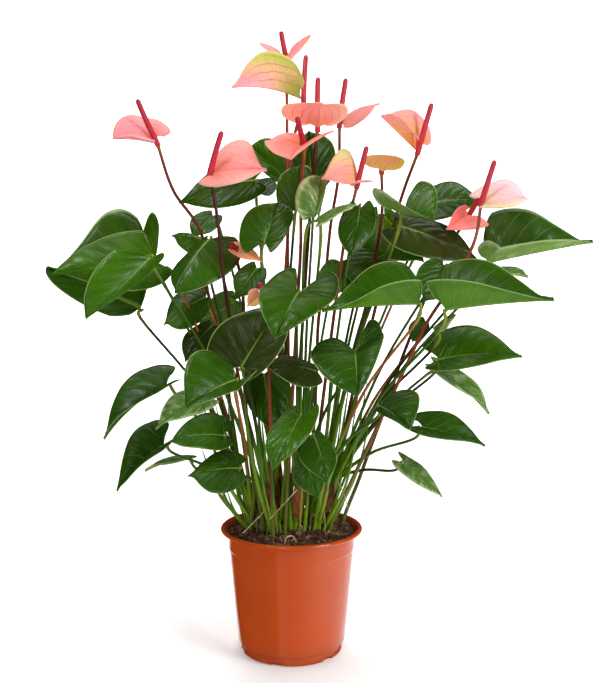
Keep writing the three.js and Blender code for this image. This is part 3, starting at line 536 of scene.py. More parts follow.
def bladeGrid(shape, side, stemRadius, look, seed):
    # Places over one half: rows run from the sinus round the lobe to the tip, columns outwards
    held = bladeFrame(shape)
    outline = np.array(blade["outline"])
    last, lobe = len(outline) - 1, blade["lobeRows"]
    row = np.linspace(0, last, last * blade["rowsEach"] + 1)[:, None]
    share = np.linspace(0, 1, blade["columns"]) ** blade["edgeEase"]
    sinus = sinusShare(shape, held, side, stemRadius)
    outs = outline[:, 1] ** (1 / (1 + onSide(shape, "full", side)))
    outs[:lobe] = np.maximum(outline[:lobe, 1], sinus + blade["lobeClear"])
    footAlong = np.where(row > lobe, np.maximum(0, evenCurve(blade["feet"], row)), 0)
    footOut = sinus * np.clip(lobe - row, 0, 1)
    along = footAlong * (1 - share) + evenCurve(outline[:, 0], row) * share
    out = footOut * (1 - share) + np.maximum(0, evenCurve(outs, row)) * share
    back = onSide(shape, "back", side, blade["reach"])
    reach = np.where(along < 0, along * back / blade["reach"], along)
    bow = np.where(along > 0, 4 * along * (1 - along), 2 * reach)
    raised = np.where(along < 0, -along / blade["reach"], 0) * onSide(shape, "lift", side)

    # What the coarse solid leaves out: swelling between the veins, a sunk midrib, a waved margin
    width, length = (np.linalg.norm(way) for way in (held["out"][side], held["along"]))
    rng = np.random.default_rng(seed)
    sweep = (row - blade["veinSweep"] * share ** 2) * blade["veinRate"]
    fade = np.clip(share / 0.12, 0, 1) * np.clip((0.97 - share) / 0.2, 0, 1)
    quilt = (np.abs(np.sin(math.pi * (sweep + 0.5))) ** 0.8 - 0.6) * fade
    rib = np.exp(-(share * width / blade["ribWidth"]) ** 2) * (row > lobe - 0.6)
    waves = sum(np.sin(row * (0.9 + 0.75 * turn) + rng.uniform(0, 2 * math.pi)) / (1 + turn)
                for turn in range(3))
    rise = (mm * (shape["arch"] * bow + onSide(shape, "cup", side) * 4 * out * (1 - out))
            + look["puff"] * 4 * share * (1 - share) * width - look["rib"] * rib
            + look["quilt"] * quilt * min(1, width / blade["quiltedFrom"])
            + look["wave"] * waves * share ** 2.2 * np.clip((last - row) / 1.5, 0, 1)
            - look["droop"] * 20 * length * np.clip(along - blade["droopFrom"], 0, 1) ** 2)
    points = (held["junction"] + held["along"] * reach[..., None]
              + held["out"][side] * out[..., None] + held["up"] * rise[..., None])
    points[..., 2] += raised * mm * out
    return points.reshape(-1, 3), row[:, 0] / last, share


def addBlade(stock, shape, stemRadius, look, seed, slot=0):
    for side, hand in (("left", -1), ("right", 1)):
        points, rows, shares = bladeGrid(shape, side, stemRadius, look, seed + hand)
        stock.addGrid(points, len(shares), lambda row, column: (
            rows[row], 0.5 + hand * 0.5 * shares[column]), flip=side == "left", slot=slot)


# Leaf finishes

leafTones = {
    "dark": {"face": "1b3a02", "light": "315c06", "vein": "5f8428", "under": "56761e",
             "pale": "8aa070", "worn": 0},
    "bright": {"face": "234800", "light": "386800", "vein": "7aa42c", "under": "5a8a1c",
               "pale": "a4bc78", "worn": 0},
    "olive": {"face": "232f06", "light": "34420f", "vein": "5c6830", "under": "46582a",
              "pale": "7c8858", "worn": 0},
    "pale": {"face": "3f661c", "light": "5f8a38", "vein": "bcd27c", "under": "789c34",
             "pale": "c8d6a0", "worn": 0.8},
}
leafLook = {"puff": 0.05, "quilt": 0.0009, "rib": 0.0007, "wave": 0.0011, "droop": 0.02,
            "roughness": 0.14, "netScale": 420, "midrib": "86a846", "margin": "9cb468"}


def veins(finish):
    # Masks of the midrib, the side veins, the vein that joins them near the margin, and the margin
    run, across = finish.laid()
    share = abs(across - 0.5) * 2
    hand = finish.node("ShaderNodeClamp", None, {0: (across - 0.5) * 40})
    sweep = (run * 7 - share * share * blade["veinSweep"]) * blade["veinRate"]
    side = (sweep + 0.5).lines(0.085 - share * 0.055, 0.8) * (1 - share.step(0.86, 0.95))
    thin = (sweep * 3 + hand * 0.3).lines(0.1) * (1 - share.step(0.8, 0.92)) * 0.4
    middle = (1 - share / (0.07 - run * 0.03)).step(0, 0.9) * run.step(0.36, 0.42)
    joining = (1 - abs(share - 0.9 - (sweep * 2 * math.pi).sine() * 0.012) / 0.014).step(0, 1)
    return {"share": share, "side": side, "thin": thin, "middle": middle,
            "joining": joining * 0.5, "margin": share.step(0.96, 0.98)}


def leafFinish(tone, under):
    finish = Finish(("leaf under " if under else "leaf ") + tone)
    colours = leafTones[tone]
    marks = veins(finish)
    patches = finish.noise(14, 3, 0.55)
    cloud = finish.noise(55, 4, 0.6)
    drawn = finish.streaks(16, 2.5)
    net = finish.cells(leafLook["netScale"])
    lines = marks["side"] * 0.4 + marks["thin"] * 0.3 + marks["joining"] * 0.35
    worn = (drawn * 0.8 + cloud * 0.4 + marks["share"].step(0.7, 1) * 0.25).step(0.55, 0.95)
    tint = finish.over(
        colours["under" if under else "face"],
        ((patches * 0.7 + drawn * 0.7 - 0.2).step(0.1, 0.85), colours["light"]),
        ((1 - net.step(0, 0.12)) * 0.12, colours["vein"]),
        (lines * (0.7 if under else 0.4), colours["vein"]),
        (worn * colours["worn"], colours["pale"]),
        (marks["middle"] * 0.75, leafLook["midrib"]),
        (marks["margin"] * 0.7, leafLook["margin"]))
    relief = (marks["side"] * (0.6 if under else -0.6) + net.step(0, 0.25) * 0.1 + drawn * 1.2
              + cloud * 0.3)
    rough = leafLook["roughness"] + (0.22 if under else 0) + cloud * 0.2
    return finish.surface(tint, rough, 0.16 if under else 0.24, (relief, 0.0009, 0.8))


leafMaterials = {
    tone: [leafFinish(tone, False), leafFinish(tone, True),
           edgeFinish("leaf edge " + tone, 160, "8fac5c", "6f9048", 1, 0.4)]
    for tone in leafTones
}
petioleForm = {"radius": 0.0017, "foot": 0.0026, "kneeLength": 0.013, "sheath": 0.018,
               "rise": 0.05, "inside": 0.03, "clear": 0.5 * mm, "rings": 30}

for number, shape in enumerate(leaves):
    stock = Stock()
    addBlade(stock, shape, petioleForm["radius"], leafLook, seeds["leaf"] + number * 7)
    face, under, rim = leafMaterials[shape["tone"]]
    under = leafMaterials[shape.get("under", shape["tone"])][1]
    piece = stock.piece("blade_" + shape["name"], [face, under, rim])
    dress(thicken(piece, blade["thickness"]), "leaf_" + shape["name"], "leaf_" + shape["tone"])
print("leaves made:", len(leaves))


# Canes, petioles and the inner leaves

soil = {"level": 0.143, "mound": 0.008, "lump": 0.0024, "rim": 0.085, "rings": 46,
        "sectors": 150, "crumb": 0.0018, "chips": 1000, "fibres": 110, "fringe": 0.1,
        "brim": 2 * mm, "within": 0.97, "intoFlare": 0.8 * mm, "skirtIn": 1.6 * mm,
        "skirtDown": 1 * mm, "footClear": 3.6 * mm}
canes = [
    {"foot": (-37, -4), "head": (-49, -8), "height": 34},
    {"foot": (-20, -24), "head": (-27, -33), "height": 42},
    {"foot": (-14, 15), "head": (-17, 24), "height": 46},
    {"foot": (6, -20), "head": (7, -27), "height": 52},
    {"foot": (10, 18), "head": (12, 27), "height": 46},
    {"foot": (30, -12), "head": (37, -17), "height": 56},
    {"foot": (36, 12), "head": (47, 17), "height": 44},
]
caneForm = {"radius": 0.0056, "taper": 0.25, "bare": 0.3, "sides": 18, "rings": 40, "scars": 6,
            "below": 0.02}


def soilTopAt(x, y):
    x, y = x / mm, y / mm
    share = min(1, math.hypot(x, y) / (soil["rim"] / mm))
    lumps = (math.sin(x * 0.31 + y * 0.17) * math.cos(y * 0.29 - x * 0.11)
             + 0.6 * math.sin(x * 0.62 - y * 0.53 + 1.3))
    return soil["level"] + soil["mound"] * (1 - share * share) + soil["lump"] * lumps * 0.6


def canePoints(cane):
    foot = np.array(cane["foot"]) * mm
    head = np.array(cane["head"]) * mm
    ground = soilTopAt(*foot)
    return [np.array([*foot, ground - caneForm["below"]]), np.array([*foot, ground]),
            np.array([*head, ground + cane["height"] * mm])]


def caneShare(shape):
    # Petioles leave their cane one above the other, the lowest leaves from the lowest place
    mates = sorted((other for other in leaves + innerLeaves if other["cane"] == shape["cane"]),
                   key=lambda other: other["junction"][1])
    place = [other is shape for other in mates].index(True)
    return caneForm["bare"] + (1 - caneForm["bare"]) * place / (len(mates) - 1)


def petiolePath(shape):
    held = bladeFrame(shape)
    _, ground, head = canePoints(canes[shape["cane"]])
    root = ground + (head - ground) * caneShare(shape)
    seat = held["junction"] + held["rearward"] * (petioleForm["radius"] + petioleForm["clear"])
    knee = seat - held["up"] * petioleForm["kneeLength"]
    upward = unit(head - ground)
    sheath = root + unit(upward + unit(knee - root)) * petioleForm["sheath"]
    level = np.array([1, 1, 0])
    middle = ((sheath + knee) / 2 + np.array(shape.get("bend", (0, 0, 0))) * mm
              + np.array([0, 0, np.linalg.norm(knee - sheath) * petioleForm["rise"]])
              + (sheath - knee) * level * petioleForm["rise"])
    end = seat if shape["name"] else held["junction"] + held["along"] * petioleForm["inside"]
    return stemCurve([root, sheath, middle, knee, end], petioleForm["rings"])


def petioleRadiusAt(share):
    slimmer = (petioleForm["radius"] - petioleForm["foot"]) * min(1, share * 1.6)
    knee = 0.28 * math.exp(-((share - 0.95) / 0.035) ** 2)
    base = 0.5 * math.exp(-(share / 0.09) ** 2)
    return (petioleForm["foot"] + slimmer) * (1 + knee + base)


def petioleFinish():
    finish = Finish("petiole")
    run, along = finish.laid()
    own = finish.own(run)
    streak = finish.grain(260, 3, 0.08)
    tint = finish.over(
        "8fb41e", (along.step(0, 0.45), "40650e"),
        # On about half the petioles the upper part darkens to olive-brown: partly their own tone, partly
        # painted shade
        (along.step(0.22, 0.55) * own.step(0.3, 0.75) * 0.85, "2e2a10"),
        (along.step(0.15, 0.5) * own.step(0.82, 0.86), "a8642a"),
        (along.step(0.86, 0.94) * 0.8, "8c9a34"),
        (streak.step(0.45, 0.8) * 0.45, "2f4a10"))
    return finish.surface(tint, 0.34 + streak * 0.15, 0.3, (streak, 0.0003, 0.5))


petioleMaterial = petioleFinish()
for number, cane in enumerate(canes):
    mates = [shape for shape in leaves + innerLeaves if shape["cane"] == number]
    stems, hearts = Stock(), Stock()
    for index, shape in enumerate(mates):
        tube(stems, petiolePath(shape), petioleRadiusAt, offset=index + 11 * number)
        if not shape["name"]:
            addBlade(hearts, shape, 0, leafLook, seeds["innerLeaf"] + 31 * number + 5 * index,
                     3 * list(leafTones).index(shape["tone"]))
    dress(stems.piece(f"petioles_{number + 1}", [petioleMaterial]), "crown", "green_stem")
    if hearts.points:
        piece = hearts.piece(f"inner_leaves_{number + 1}", sum(leafMaterials.values(), []))
        dress(thicken(piece, blade["thickness"]), "crown", "leaf_dark")
print("petioles and inner leaves made")


def caneFinish():
    finish = Finish("cane")
    _, along = finish.laid()
    grain = finish.grain(120, 4, 0.35)
    scars = (along * caneForm["scars"]).lines(0.07)
    tint = finish.over("5c4a20", (along.step(0.25, 0.9), "6c8a24"),
                       (grain.step(0.4, 0.7) * 0.75, "4a321a"), (scars * 0.7, "8a6a3c"))
    return finish.surface(tint, 0.5 + grain * 0.2, relief=(grain - scars * 0.5, 0.0006, 0.8))


def makeCanes():
    stock = Stock()
    for number, cane in enumerate(canes):
        def knobbed(share):
            scar = abs((share * caneForm["scars"] + number * 0.21) % 1 - 0.5)
            swollen = 0.93 + 0.14 * math.exp(-(scar / 0.12) ** 2)
            return caneForm["radius"] * (1 - caneForm["taper"] * share) * swollen

        tube(stock, stemCurve(canePoints(cane), caneForm["rings"]), knobbed, caneForm["sides"])
    return stock.piece("canes", [caneFinish()])


dress(makeCanes(), "crown", "green_stem")
print("canes made")


# What grows round the canes: rolled young shoots, papery brown sheaths and short aerial roots

shootForm = {"count": 72, "radius": 0.0022, "shortest": 45, "longest": 210, "nearest": 4,
             "farthest": 11, "buried": 4, "outward": 2, "upward": 0.35}
sheathForm = {"each": 6, "length": 0.031, "rows": 9, "columns": 9, "halfTurn": 0.95,
              "thickness": 0.0007, "lowest": 0.15, "span": 0.8}
rootForm = {"each": 4, "shortest": 11, "longest": 20, "buried": 3}


def strandFinish(name, dark, light):
    finish = Finish(name)
    streak = finish.grain(300, 4, 0.3)
    return finish.surface(finish.mix(streak.step(0.3, 0.75), dark, light), 0.6 + streak * 0.2,
                          relief=(streak, 0.0004, 0.6))


def shootFinish():
    finish = Finish("young shoot")
    _, along = finish.laid()
    streak = finish.grain(260, 3, 0.08)
    tint = finish.over("86ac22", (along.step(0, 0.9), "4a7a18"),
                       (streak.step(0.45, 0.8) * 0.5, "3a5a12"))
    return finish.surface(tint, 0.36 + streak * 0.15, 0.3, (streak, 0.0003, 0.5))


def sheathFinish():
    finish = Finish("papery sheath")
    run, _ = finish.laid()
    grain = finish.streaks(3, 30)
    tint = finish.over("66300f", (grain.step(0.3, 0.7), "b8662c"),
                       (run.step(0.6, 1) * 0.6, "40180a"))
    return finish.surface(tint, 0.45 + grain * 0.2, relief=(grain, 0.0006, 0.7))


def makeShoots(rng):
    stock = Stock()
    for index in range(shootForm["count"]):
        _, ground, head = canePoints(canes[index % len(canes)])
        beside = levelWay(rng)
        start = ground + beside * rng.uniform(shootForm["nearest"], shootForm["farthest"]) * mm
        start[2] -= shootForm["buried"] * mm
        length = rng.uniform(shootForm["shortest"], shootForm["longest"]) * mm
        lean = unit(unit(head - ground) + beside * rng.uniform(-0.3, 0.4)
                    + start * np.array([1, 1, 0]) * shootForm["outward"])
        end = start + unit(lean + np.array([0, 0, shootForm["upward"]])) * length
        size = shootForm["radius"] * rng.uniform(0.4, 1.1)
        tube(stock, stemCurve([start, start + lean * length * 0.5, end], 16),
             lambda share: size * (1.15 - 1.05 * share ** 3), 8, index)
    return stock.piece("young_shoots", [shootFinish()])


def makeSheaths(rng):
    # Each is a strip wrapped part way round its cane that narrows to a torn point
    stock = Stock()
    rows, columns = sheathForm["rows"], sheathForm["columns"]
    for cane in canes:
        _, ground, head = canePoints(cane)
        upward = unit(head - ground)
        side = unit(np.cross(upward, [0.3, 1, 0.1]))
        front = np.cross(upward, side)
        for index in range(sheathForm["each"]):
            along = sheathForm["lowest"] + sheathForm["span"] * index / sheathForm["each"]
            start = ground + (head - ground) * along
            facing, size = rng.uniform(0, 2 * math.pi), rng.uniform(0.7, 1.3)
            points = []
            for rise in np.linspace(0, 1, rows):
                spread = sheathForm["halfTurn"] * (1 - rise ** 1.3) + 0.04
                away = caneForm["radius"] * (1.12 + 0.75 * rise ** 1.5)
                for across in np.linspace(-1, 1, columns):
                    swing = facing + across * spread
                    torn = 0.12 * math.sin(7 * across + index * 2.1) * rise
                    points.append(start + (side * math.cos(swing) + front * math.sin(swing)) * away
                                  + upward * sheathForm["length"] * size * (rise + torn))
            stock.addGrid(points, columns, lambda row, column: (
                row / (rows - 1), column / (columns - 1)))
    return thicken(stock.piece("sheaths", [sheathFinish()] * 3), sheathForm["thickness"])


def makeAerialRoots(rng):
    stock = Stock()
    for index in range(rootForm["each"] * len(canes)):
        _, ground, head = canePoints(canes[index % len(canes)])
        beside = levelWay(rng)
        start = ground + (head - ground) * rng.uniform(0.15, 0.5)
        far = rng.uniform(rootForm["shortest"], rootForm["longest"]) * mm
        landing = start + beside * far
        landing[2] = soilTopAt(landing[0], landing[1]) - rootForm["buried"] * mm
        size = rng.uniform(0.9, 1.5) * mm
        tube(stock, stemCurve([start, start + beside * far * 0.7, landing], 14),
             lambda share: size * (1 - 0.25 * share), 8, index)
    return stock.piece("aerial_roots", [strandFinish("aerial root", "6a5a34", "a8a070")])


footRandom = np.random.default_rng(seeds["foot"])
for make in (makeShoots, makeSheaths, makeAerialRoots):
    dress(make(footRandom), "crown", "green_stem")
print("foot of the plant made")


# Blooms: spathes, and stalks that run on into their spadices

# Colours of each spathe: the middle, towards the tip, by the spadix, and the margins of both halves
spatheTones = {
    "far_left": ("f0909a", "ee8a92", "ec7a6c", "f4a6ac", "f19a9a"),
    "left": ("f5968e", "f28c86", "ee7c68", "f6a89e", "f6a498"),
    "top_back": ("f29a9c", "f4a0a0", "ec8a84", "f2866a", "f09ca0"),
    "top_green": ("e8b894", "f492a4", "86a030", "aecb4a", "f08c78"),
    "top_centre": ("f49c90", "f49890", "ec8864", "f6b49c", "f6b094"),
    "top_right": ("f09a96", "f4a8a2", "ec9474", "f3a49e", "ee928c"),
    "centre_coral": ("f28078", "f48880", "ee7e56", "f08a62", "f6a298"),
    "right_folded": ("f2aa60", "f4909a", "ea7e48", "f49aa6", "f4a0a0"),
    "centre_pale": ("f2a498", "f39a92", "ecac7c", "f2a298", "d8dc84"),
    "right_orange": ("f4b070", "f2a468", "e8c058", "ecd050", "f2b868"),
    "far_right": ("f6c2c4", "f7cdd2", "e8cc98", "f8d2d6", "eee0a0"),
    "right_coral": ("ef6e64", "f0746a", "ec8468", "f2948a", "ee645e"),
    "hidden_orange": ("f0a46c", "ef9058", "e07850", "f0b080", "f09060"),
    "hidden_green": ("e9a070", "dca860", "d87858", "c8b860", "f09a80"),
}
spatheLook = {"puff": 0.06, "quilt": 0.0006, "rib": 0.0004, "wave": 0.0008, "droop": 0,
              "veins": "cc4240", "margin": "f8cdb8"}
stalkForm = {"radius": 0.0019, "foot": 0.0024, "sides": 12, "rings": 60, "ringSpread": 0.0055,
             "seatClear": 0.008}
spadixForm = {"base": 0.0033, "tip": 0.0028, "sides": 22, "rings": 70, "berry": 0.00022,
              "bow": 0.03, "sunk": 0.06, "roundFrom": 0.93}


def spatheFinish(name, under):
    finish = Finish(("spathe under " if under else "spathe ") + name)
    middle, tip, heart, left, right = spatheTones[name]
    run, across = finish.laid()
    marks = veins(finish)
    cloud = finish.noise(40)
    share = marks["share"]
    drift = cloud * 0.5 - 0.25
    near = 1 - (share * 0.7 + (run - 0.4).step(0, 0.5) * 0.8 + drift).step(0.05, 0.6)
    outward = (share + drift * 0.6).step(0.35, 0.95) * (1 - run.step(0.45, 0.9) * 0.85)
    # Main veins run with the margin from the spadix to the tip, a fine net lies between them
    arcs = (share * 4.5 + finish.streaks(5, 6, 2) * 0.7).lines(0.12, 0.9)
    arcs = arcs * (1 - share.step(0.85, 0.95)) * share.step(0.06, 0.14)
    cross = (run * 34 + share * 5 + cloud * 3).lines(0.14)
    net = 1 - finish.cells(230).step(0, 0.1)
    lines = arcs * 0.75 + cross * 0.22 + net * 0.3 + marks["middle"] * 0.5
    lines = lines * (1 - run.step(0.5, 1) * 0.4)
    tint = finish.over(
        middle, ((run + drift).step(0.45, 1), tip), (near * 0.9, heart),
        (outward * (0.5 - across).step(-0.02, 0.02), left),
        (outward * (across - 0.5).step(-0.02, 0.02), right),
        (lines * (0.7 if under else 0.36), spatheLook["veins"]),
        (marks["margin"] * 0.5, spatheLook["margin"]))
    relief = arcs * (0.5 if under else -0.5) - net * 0.2 + cloud * 0.8
    # The spathe glows in its own colour, more on the underside: painted light
    return finish.surface(tint, 0.34 + cloud * 0.14, 0.35, (relief, 0.0004, 0.6),
                          (tint, 0.3 if under else 0.12))


def stalkFinish():
    finish = Finish("flower stalk")
    run, along = finish.laid()
    own = finish.own(run)
    streak = finish.grain(240, 3, 0.06)
    tint = finish.over(
        "6a4a1c", (along.step(0.3, 0.75), "4a1410"),
        # Upper parts of some stalks are orange-brown, the rest dark maroon: the orange-brown is painted
        # light, for stalks that catch the light
        (own.step(0.35, 0.75) * along.step(0.25, 0.5) * 0.75, "98401c"),
        (1 - along.step(0.04, 0.32), "66741c"), (along.step(0.955, 0.995) * 0.8, "b0603a"),
        (streak.step(0.5, 0.85) * 0.5, "2c0c0c"))
    return finish.surface(tint, 0.32 + streak * 0.15, 0.35, (streak, 0.0003, 0.5))


def spadixFinish():
    finish = Finish("spadix")
    run, along = finish.laid()
    own = finish.own(run)
    grain = finish.cells(900, "F1")
    tint = finish.over("d8263a", (along.step(0.05, 0.8), "c01830"),
                       (own.step(0.2, 0.9) * 0.35, "cc4456"),
                       (along.step(0.93, 1) * 0.7, "6a1428"), (grain.step(0.15, 0.6) * 0.3, "980e22"))
    return finish.surface(tint, 0.36 + grain * 0.2, relief=(grain, -0.0003, 0.6))


def bloomSeat(bloom):
    held = bladeFrame(bloom)
    spadix = unit(at(bloom["spadix"]) - held["junction"])
    back = spadix.dot(held["rearward"])
    clearance = spadixForm["base"] + gap + 0.45 * mm * abs(back)
    return held["junction"] + held["rearward"] * clearance / math.sqrt(1 - back * back)


def ringCentres(node, seat):
    # The middles of the rings that the model's stalk is built on, from its foot to its seat
    corners = np.array([vertex.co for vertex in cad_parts[node].data.vertices])
    corners = np.unique(np.round(corners, 5), axis=0)
    near = np.linalg.norm(corners[:, None] - corners[None], axis=2) < stalkForm["ringSpread"]
    ringOf = np.arange(len(corners))
    for _ in range(stalkForm["sides"]):
        ringOf = np.array([ringOf[row].min() for row in near])
    centres = [corners[ringOf == ring].mean(axis=0) for ring in np.unique(ringOf)]
    centres = [c for c in centres if np.linalg.norm(c - seat) > stalkForm["seatClear"]]
    path = [min(centres, key=lambda c: c[2])]
    rest = [c for c in centres if c is not path[0]]
    while rest:
        following = min(rest, key=lambda c: np.linalg.norm(c - path[-1]))
        if np.linalg.norm(following - path[-1]) > np.linalg.norm(seat - path[-1]):
            break
        path.append(following)
        rest = [c for c in rest if c is not following]
    return path + [seat]


def addSpadix(stock, bloom, seat, slot):
    tip = at(bloom["spadix"])
    axis = unit(tip - seat)
    sides, rings, sunk = spadixForm["sides"], spadixForm["rings"], spadixForm["sunk"]
    lean = unit(np.cross(axis, [0.3, 1, 0.2]))
    beside = np.cross(axis, lean)
    bow = np.linalg.norm(tip - seat) * spadixForm["bow"]
    points = []
    for ring in range(rings):
        share = ring / (rings - 1)
        rounded = max(0, (share - spadixForm["roundFrom"]) / (1 - spadixForm["roundFrom"]))
        radius = spadixForm["base"] + (spadixForm["tip"] - spadixForm["base"]) * share
        radius *= math.sqrt(max(0, 1 - rounded ** 2)) + 0.02
        middle = seat + (tip - seat) * (share * (1 + sunk) - sunk)
        middle = middle + beside * bow * math.sin(math.pi * share)
        for side, (x, y) in enumerate(turns(sides)):
            berry = spadixForm["berry"] * (1 if (ring + side) % 2 else -0.4) * (0.1 < share)
            away = radius + berry * min(1, radius / spadixForm["tip"])
            points.append(middle + away * (lean * x + beside * y))
    stock.addGrid(points, sides, lambda ring, side: (side / sides, ring / (rings - 1)), True,
                  slot=slot)


def stalkRadiusAt(share):
    flare = 0.35 * math.exp(-((1 - share) / 0.012) ** 2)
    return (stalkForm["foot"] + (stalkForm["radius"] - stalkForm["foot"]) * share) * (1 + flare)


stalkMaterials = [stalkFinish(), spadixFinish()]
for number, bloom in enumerate(blooms):
    name, seat = bloom["name"], bloomSeat(bloom)
    stem = Stock()
    path = stemCurve(ringCentres(f"bloom_{name}_stalk", seat), stalkForm["rings"])
    tube(stem, path, stalkRadiusAt, stalkForm["sides"], number)
    addSpadix(stem, bloom, seat, 1)
    dress(stem.piece("stalk_" + name, stalkMaterials), f"bloom_{name}_stalk", "flower_stalk")
    spathe = Stock()
    addBlade(spathe, bloom, spadixForm["base"], spatheLook, seeds["bloom"] + number * 7)
    edge = edgeFinish("spathe edge " + name, 120, spatheTones[name][3], "f7c9b4", 0.5, 0.38)
    piece = spathe.piece("spathe_" + name, [spatheFinish(name, False), spatheFinish(name, True), edge])
    dress(thicken(piece, blade["thickness"]), f"bloom_{name}_spathe", "spathe_" + bloom["tone"])
print("blooms made:", len(blooms))


# Pot

pot = {"rim": 0.085, "height": 0.151, "foot": 0.0644, "wall": 0.0018, "lip": 0.005,
       "collarRadius": 0.0755, "collarFoot": 0.126, "flare": 0.008, "collarStep": 0.0008,
       "floor": 0.007, "footHeight": 0.012, "footStep": 0.0036, "notches": 6, "notchWidth": 0.015,
       "notchHeight": 0.0047, "notchDepth": 0.005, "notchTurn": 0.75, "sides": 160,
       "creaseAngle": 40}
# A notch's outline, across and up, in shares of its width and height
notchOutline = [(-0.5, -1), (0.5, -1), (0.5, 0.55), (0.36, 1), (-0.36, 1), (-0.5, 0.55)]


def potRadiusAt(height):
    taper = (pot["collarRadius"] - pot["collarStep"] - pot["foot"]) / (
        pot["collarFoot"] - pot["footHeight"])
    return pot["foot"] + taper * (height - pot["footHeight"])


def roundedOutline(profile):
    # Radius, height and rounding of each corner, made into an outline with small arcs
    corners = [np.array(row[:2]) for row in profile]
    outline = []
    for index, (here, (*_, size)) in enumerate(zip(corners, profile)):
        if size == 0:
            outline.append(here)
            continue
        before, after = (unit(corners[index + step] - here) * size for step in (-1, 1))
        outline += [here + before * (1 - share) ** 2 + after * share ** 2
                    for share in np.linspace(0, 1, 5)]
    return outline


def potFinish():
    finish = Finish("terracotta plastic")
    height = finish.parts(finish.spot())[2]
    _, profile = finish.laid()
    mottle = finish.noise(9)
    speck = finish.noise(900, 2)
    scuffs = finish.noise(60, 5, 0.7, finish.place((1, 1, 5)))
    foot = 1 - height.step(0.004, 0.03)
    # From the rim's top inwards, over the lip's inner half and the inner wall, the colour darkens to
    # red-brown: a soil stain and painted shade together
    inside = profile.step(0.56, 0.68)
    tint = finish.over(
        "ba460d", (mottle.step(0.3, 0.75), "c24b12"), (speck.step(0.55, 0.75) * 0.08, "8f3716"),
        (scuffs.step(0.7, 0.9) * 0.08, "d87a50"), (foot * mottle * 0.4, "9a4a2c"),
        (inside * (0.35 + mottle * 0.6), "5c2412"))
    return finish.surface(tint, 0.15 + scuffs * 0.05 + foot * 0.1,
                          relief=(speck * 0.1 + mottle * 0.3, 0.0002, 0.4))


def potShell():
    rim, height, collarFoot = pot["rim"], pot["height"], pot["collarFoot"]
    collar, inner = pot["collarRadius"], pot["collarRadius"] - pot["wall"]
    footIn, lip, flare = pot["foot"] - pot["footStep"], height - pot["lip"], height - pot["flare"]
    # From the underside's middle round to the inner floor's
    outline = roundedOutline([
        (0, 0, 0), (footIn - 0.003, 0, 0.001), (footIn, 0.0014, 0.0008),
        (footIn, pot["footHeight"], 0.0003), (pot["foot"], pot["footHeight"] + 0.001, 0.0006),
        (potRadiusAt(0.05), 0.05, 0), (potRadiusAt(0.09), 0.09, 0),
        (potRadiusAt(collarFoot - 0.001), collarFoot - 0.001, 0.0004),
        (collar, collarFoot + 0.0006, 0.0005), (collar, flare, 0.002),
        (collar + 0.0025, lip + 0.0003, 0.0012), (rim - 0.0008, lip + 0.001, 0.0006),
        (rim, height - 0.0026, 0.0008), (rim - 0.001, height - 0.0006, 0.0009),
        (rim - 0.003, height, 0.0009), (rim - 0.006, height - 0.0004, 0.0012),
        (rim - 0.0076, height - 0.002, 0.0009), (inner, flare - 0.0006, 0.002),
        (inner - 0.0008, collarFoot + 0.001, 0.0006),
        (potRadiusAt(collarFoot) - pot["wall"], collarFoot - 0.001, 0.0006),
        (footIn - pot["wall"], pot["floor"] + 0.003, 0.001),
        (footIn - pot["wall"] - 0.003, pot["floor"], 0.001), (0, pot["floor"], 0)])
    rows, sides = len(outline), pot["sides"]
    points = [(radius * x, radius * y, z) for radius, z in outline for x, y in turns(sides)]
    grid = quads(rows, sides, True)
    uvs = [(side / sides, row / (rows - 1)) for face in grid for row, side in face]
    shell = makePiece("pot_shell", [potFinish()], points, numbered(grid, sides), uvs)
    weld(shell)
    return shell


def notchCutters():
    stock = Stock()
    for index in range(pot["notches"]):
        angle = (index + pot["notchTurn"]) * 2 * math.pi / pot["notches"]
        outward = np.array([-math.sin(angle), math.cos(angle), 0])
        sideways = np.array([-math.cos(angle), -math.sin(angle), 0])
        points = [outward * (pot["foot"] - pot["footStep"] + depth)
                  + sideways * across * pot["notchWidth"]
                  + np.array([0, 0, up * pot["notchHeight"]])
                  for depth in (-pot["notchDepth"], pot["notchDepth"])
                  for across, up in notchOutline]
        stock.addGrid(points, len(notchOutline), lambda row, column: (0, 0), True)
    return stock.piece("notch_cutters", [])


def makePot():
    shell, tool = potShell(), notchCutters()
    notched = shell.modifiers.new("notches", "BOOLEAN")
    notched.object = tool
    notched.operation = "DIFFERENCE"
    notched.solver = "EXACT"
    bpy.context.view_layer.update()
    made = bpy.data.meshes.new_from_object(
        shell.evaluated_get(bpy.context.evaluated_depsgraph_get()))
    shell.modifiers.clear()
    shell.data = made
    bpy.data.objects.remove(tool)
    made.polygons.foreach_set("use_smooth", np.full(len(made.polygons), True))
    crease = math.radians(pot["creaseAngle"])
    body = bmesh.new()
    body.from_mesh(made)
    for edge in body.edges:
        edge.smooth = len(edge.link_faces) < 2 or edge.calc_face_angle(0) < crease
    body.to_mesh(made)
    body.free()
    return shell


dress(makePot(), "pot", "pot_plastic")
print("pot made")


# Soil: a crumbly bark mound, with loose chips and fibres on it

def soilFinish(name, dark, light):
    finish = Finish(name)
    crumbs = finish.noise(220, 6, 0.65)
    grains = finish.cells(500, "F1")
    tint = finish.over(dark, (crumbs.step(0.35, 0.7), light), (grains.step(0.2, 0.7) * 0.5, "24160e"))
    return finish.surface(tint, 0.75 + crumbs * 0.2, relief=(crumbs + grains * 0.5, 0.0012, 0.9))


# The brim goes a little way into the flare of the pot's collar
soilEdge = pot["collarRadius"] - pot["wall"] - gap + soil["intoFlare"]


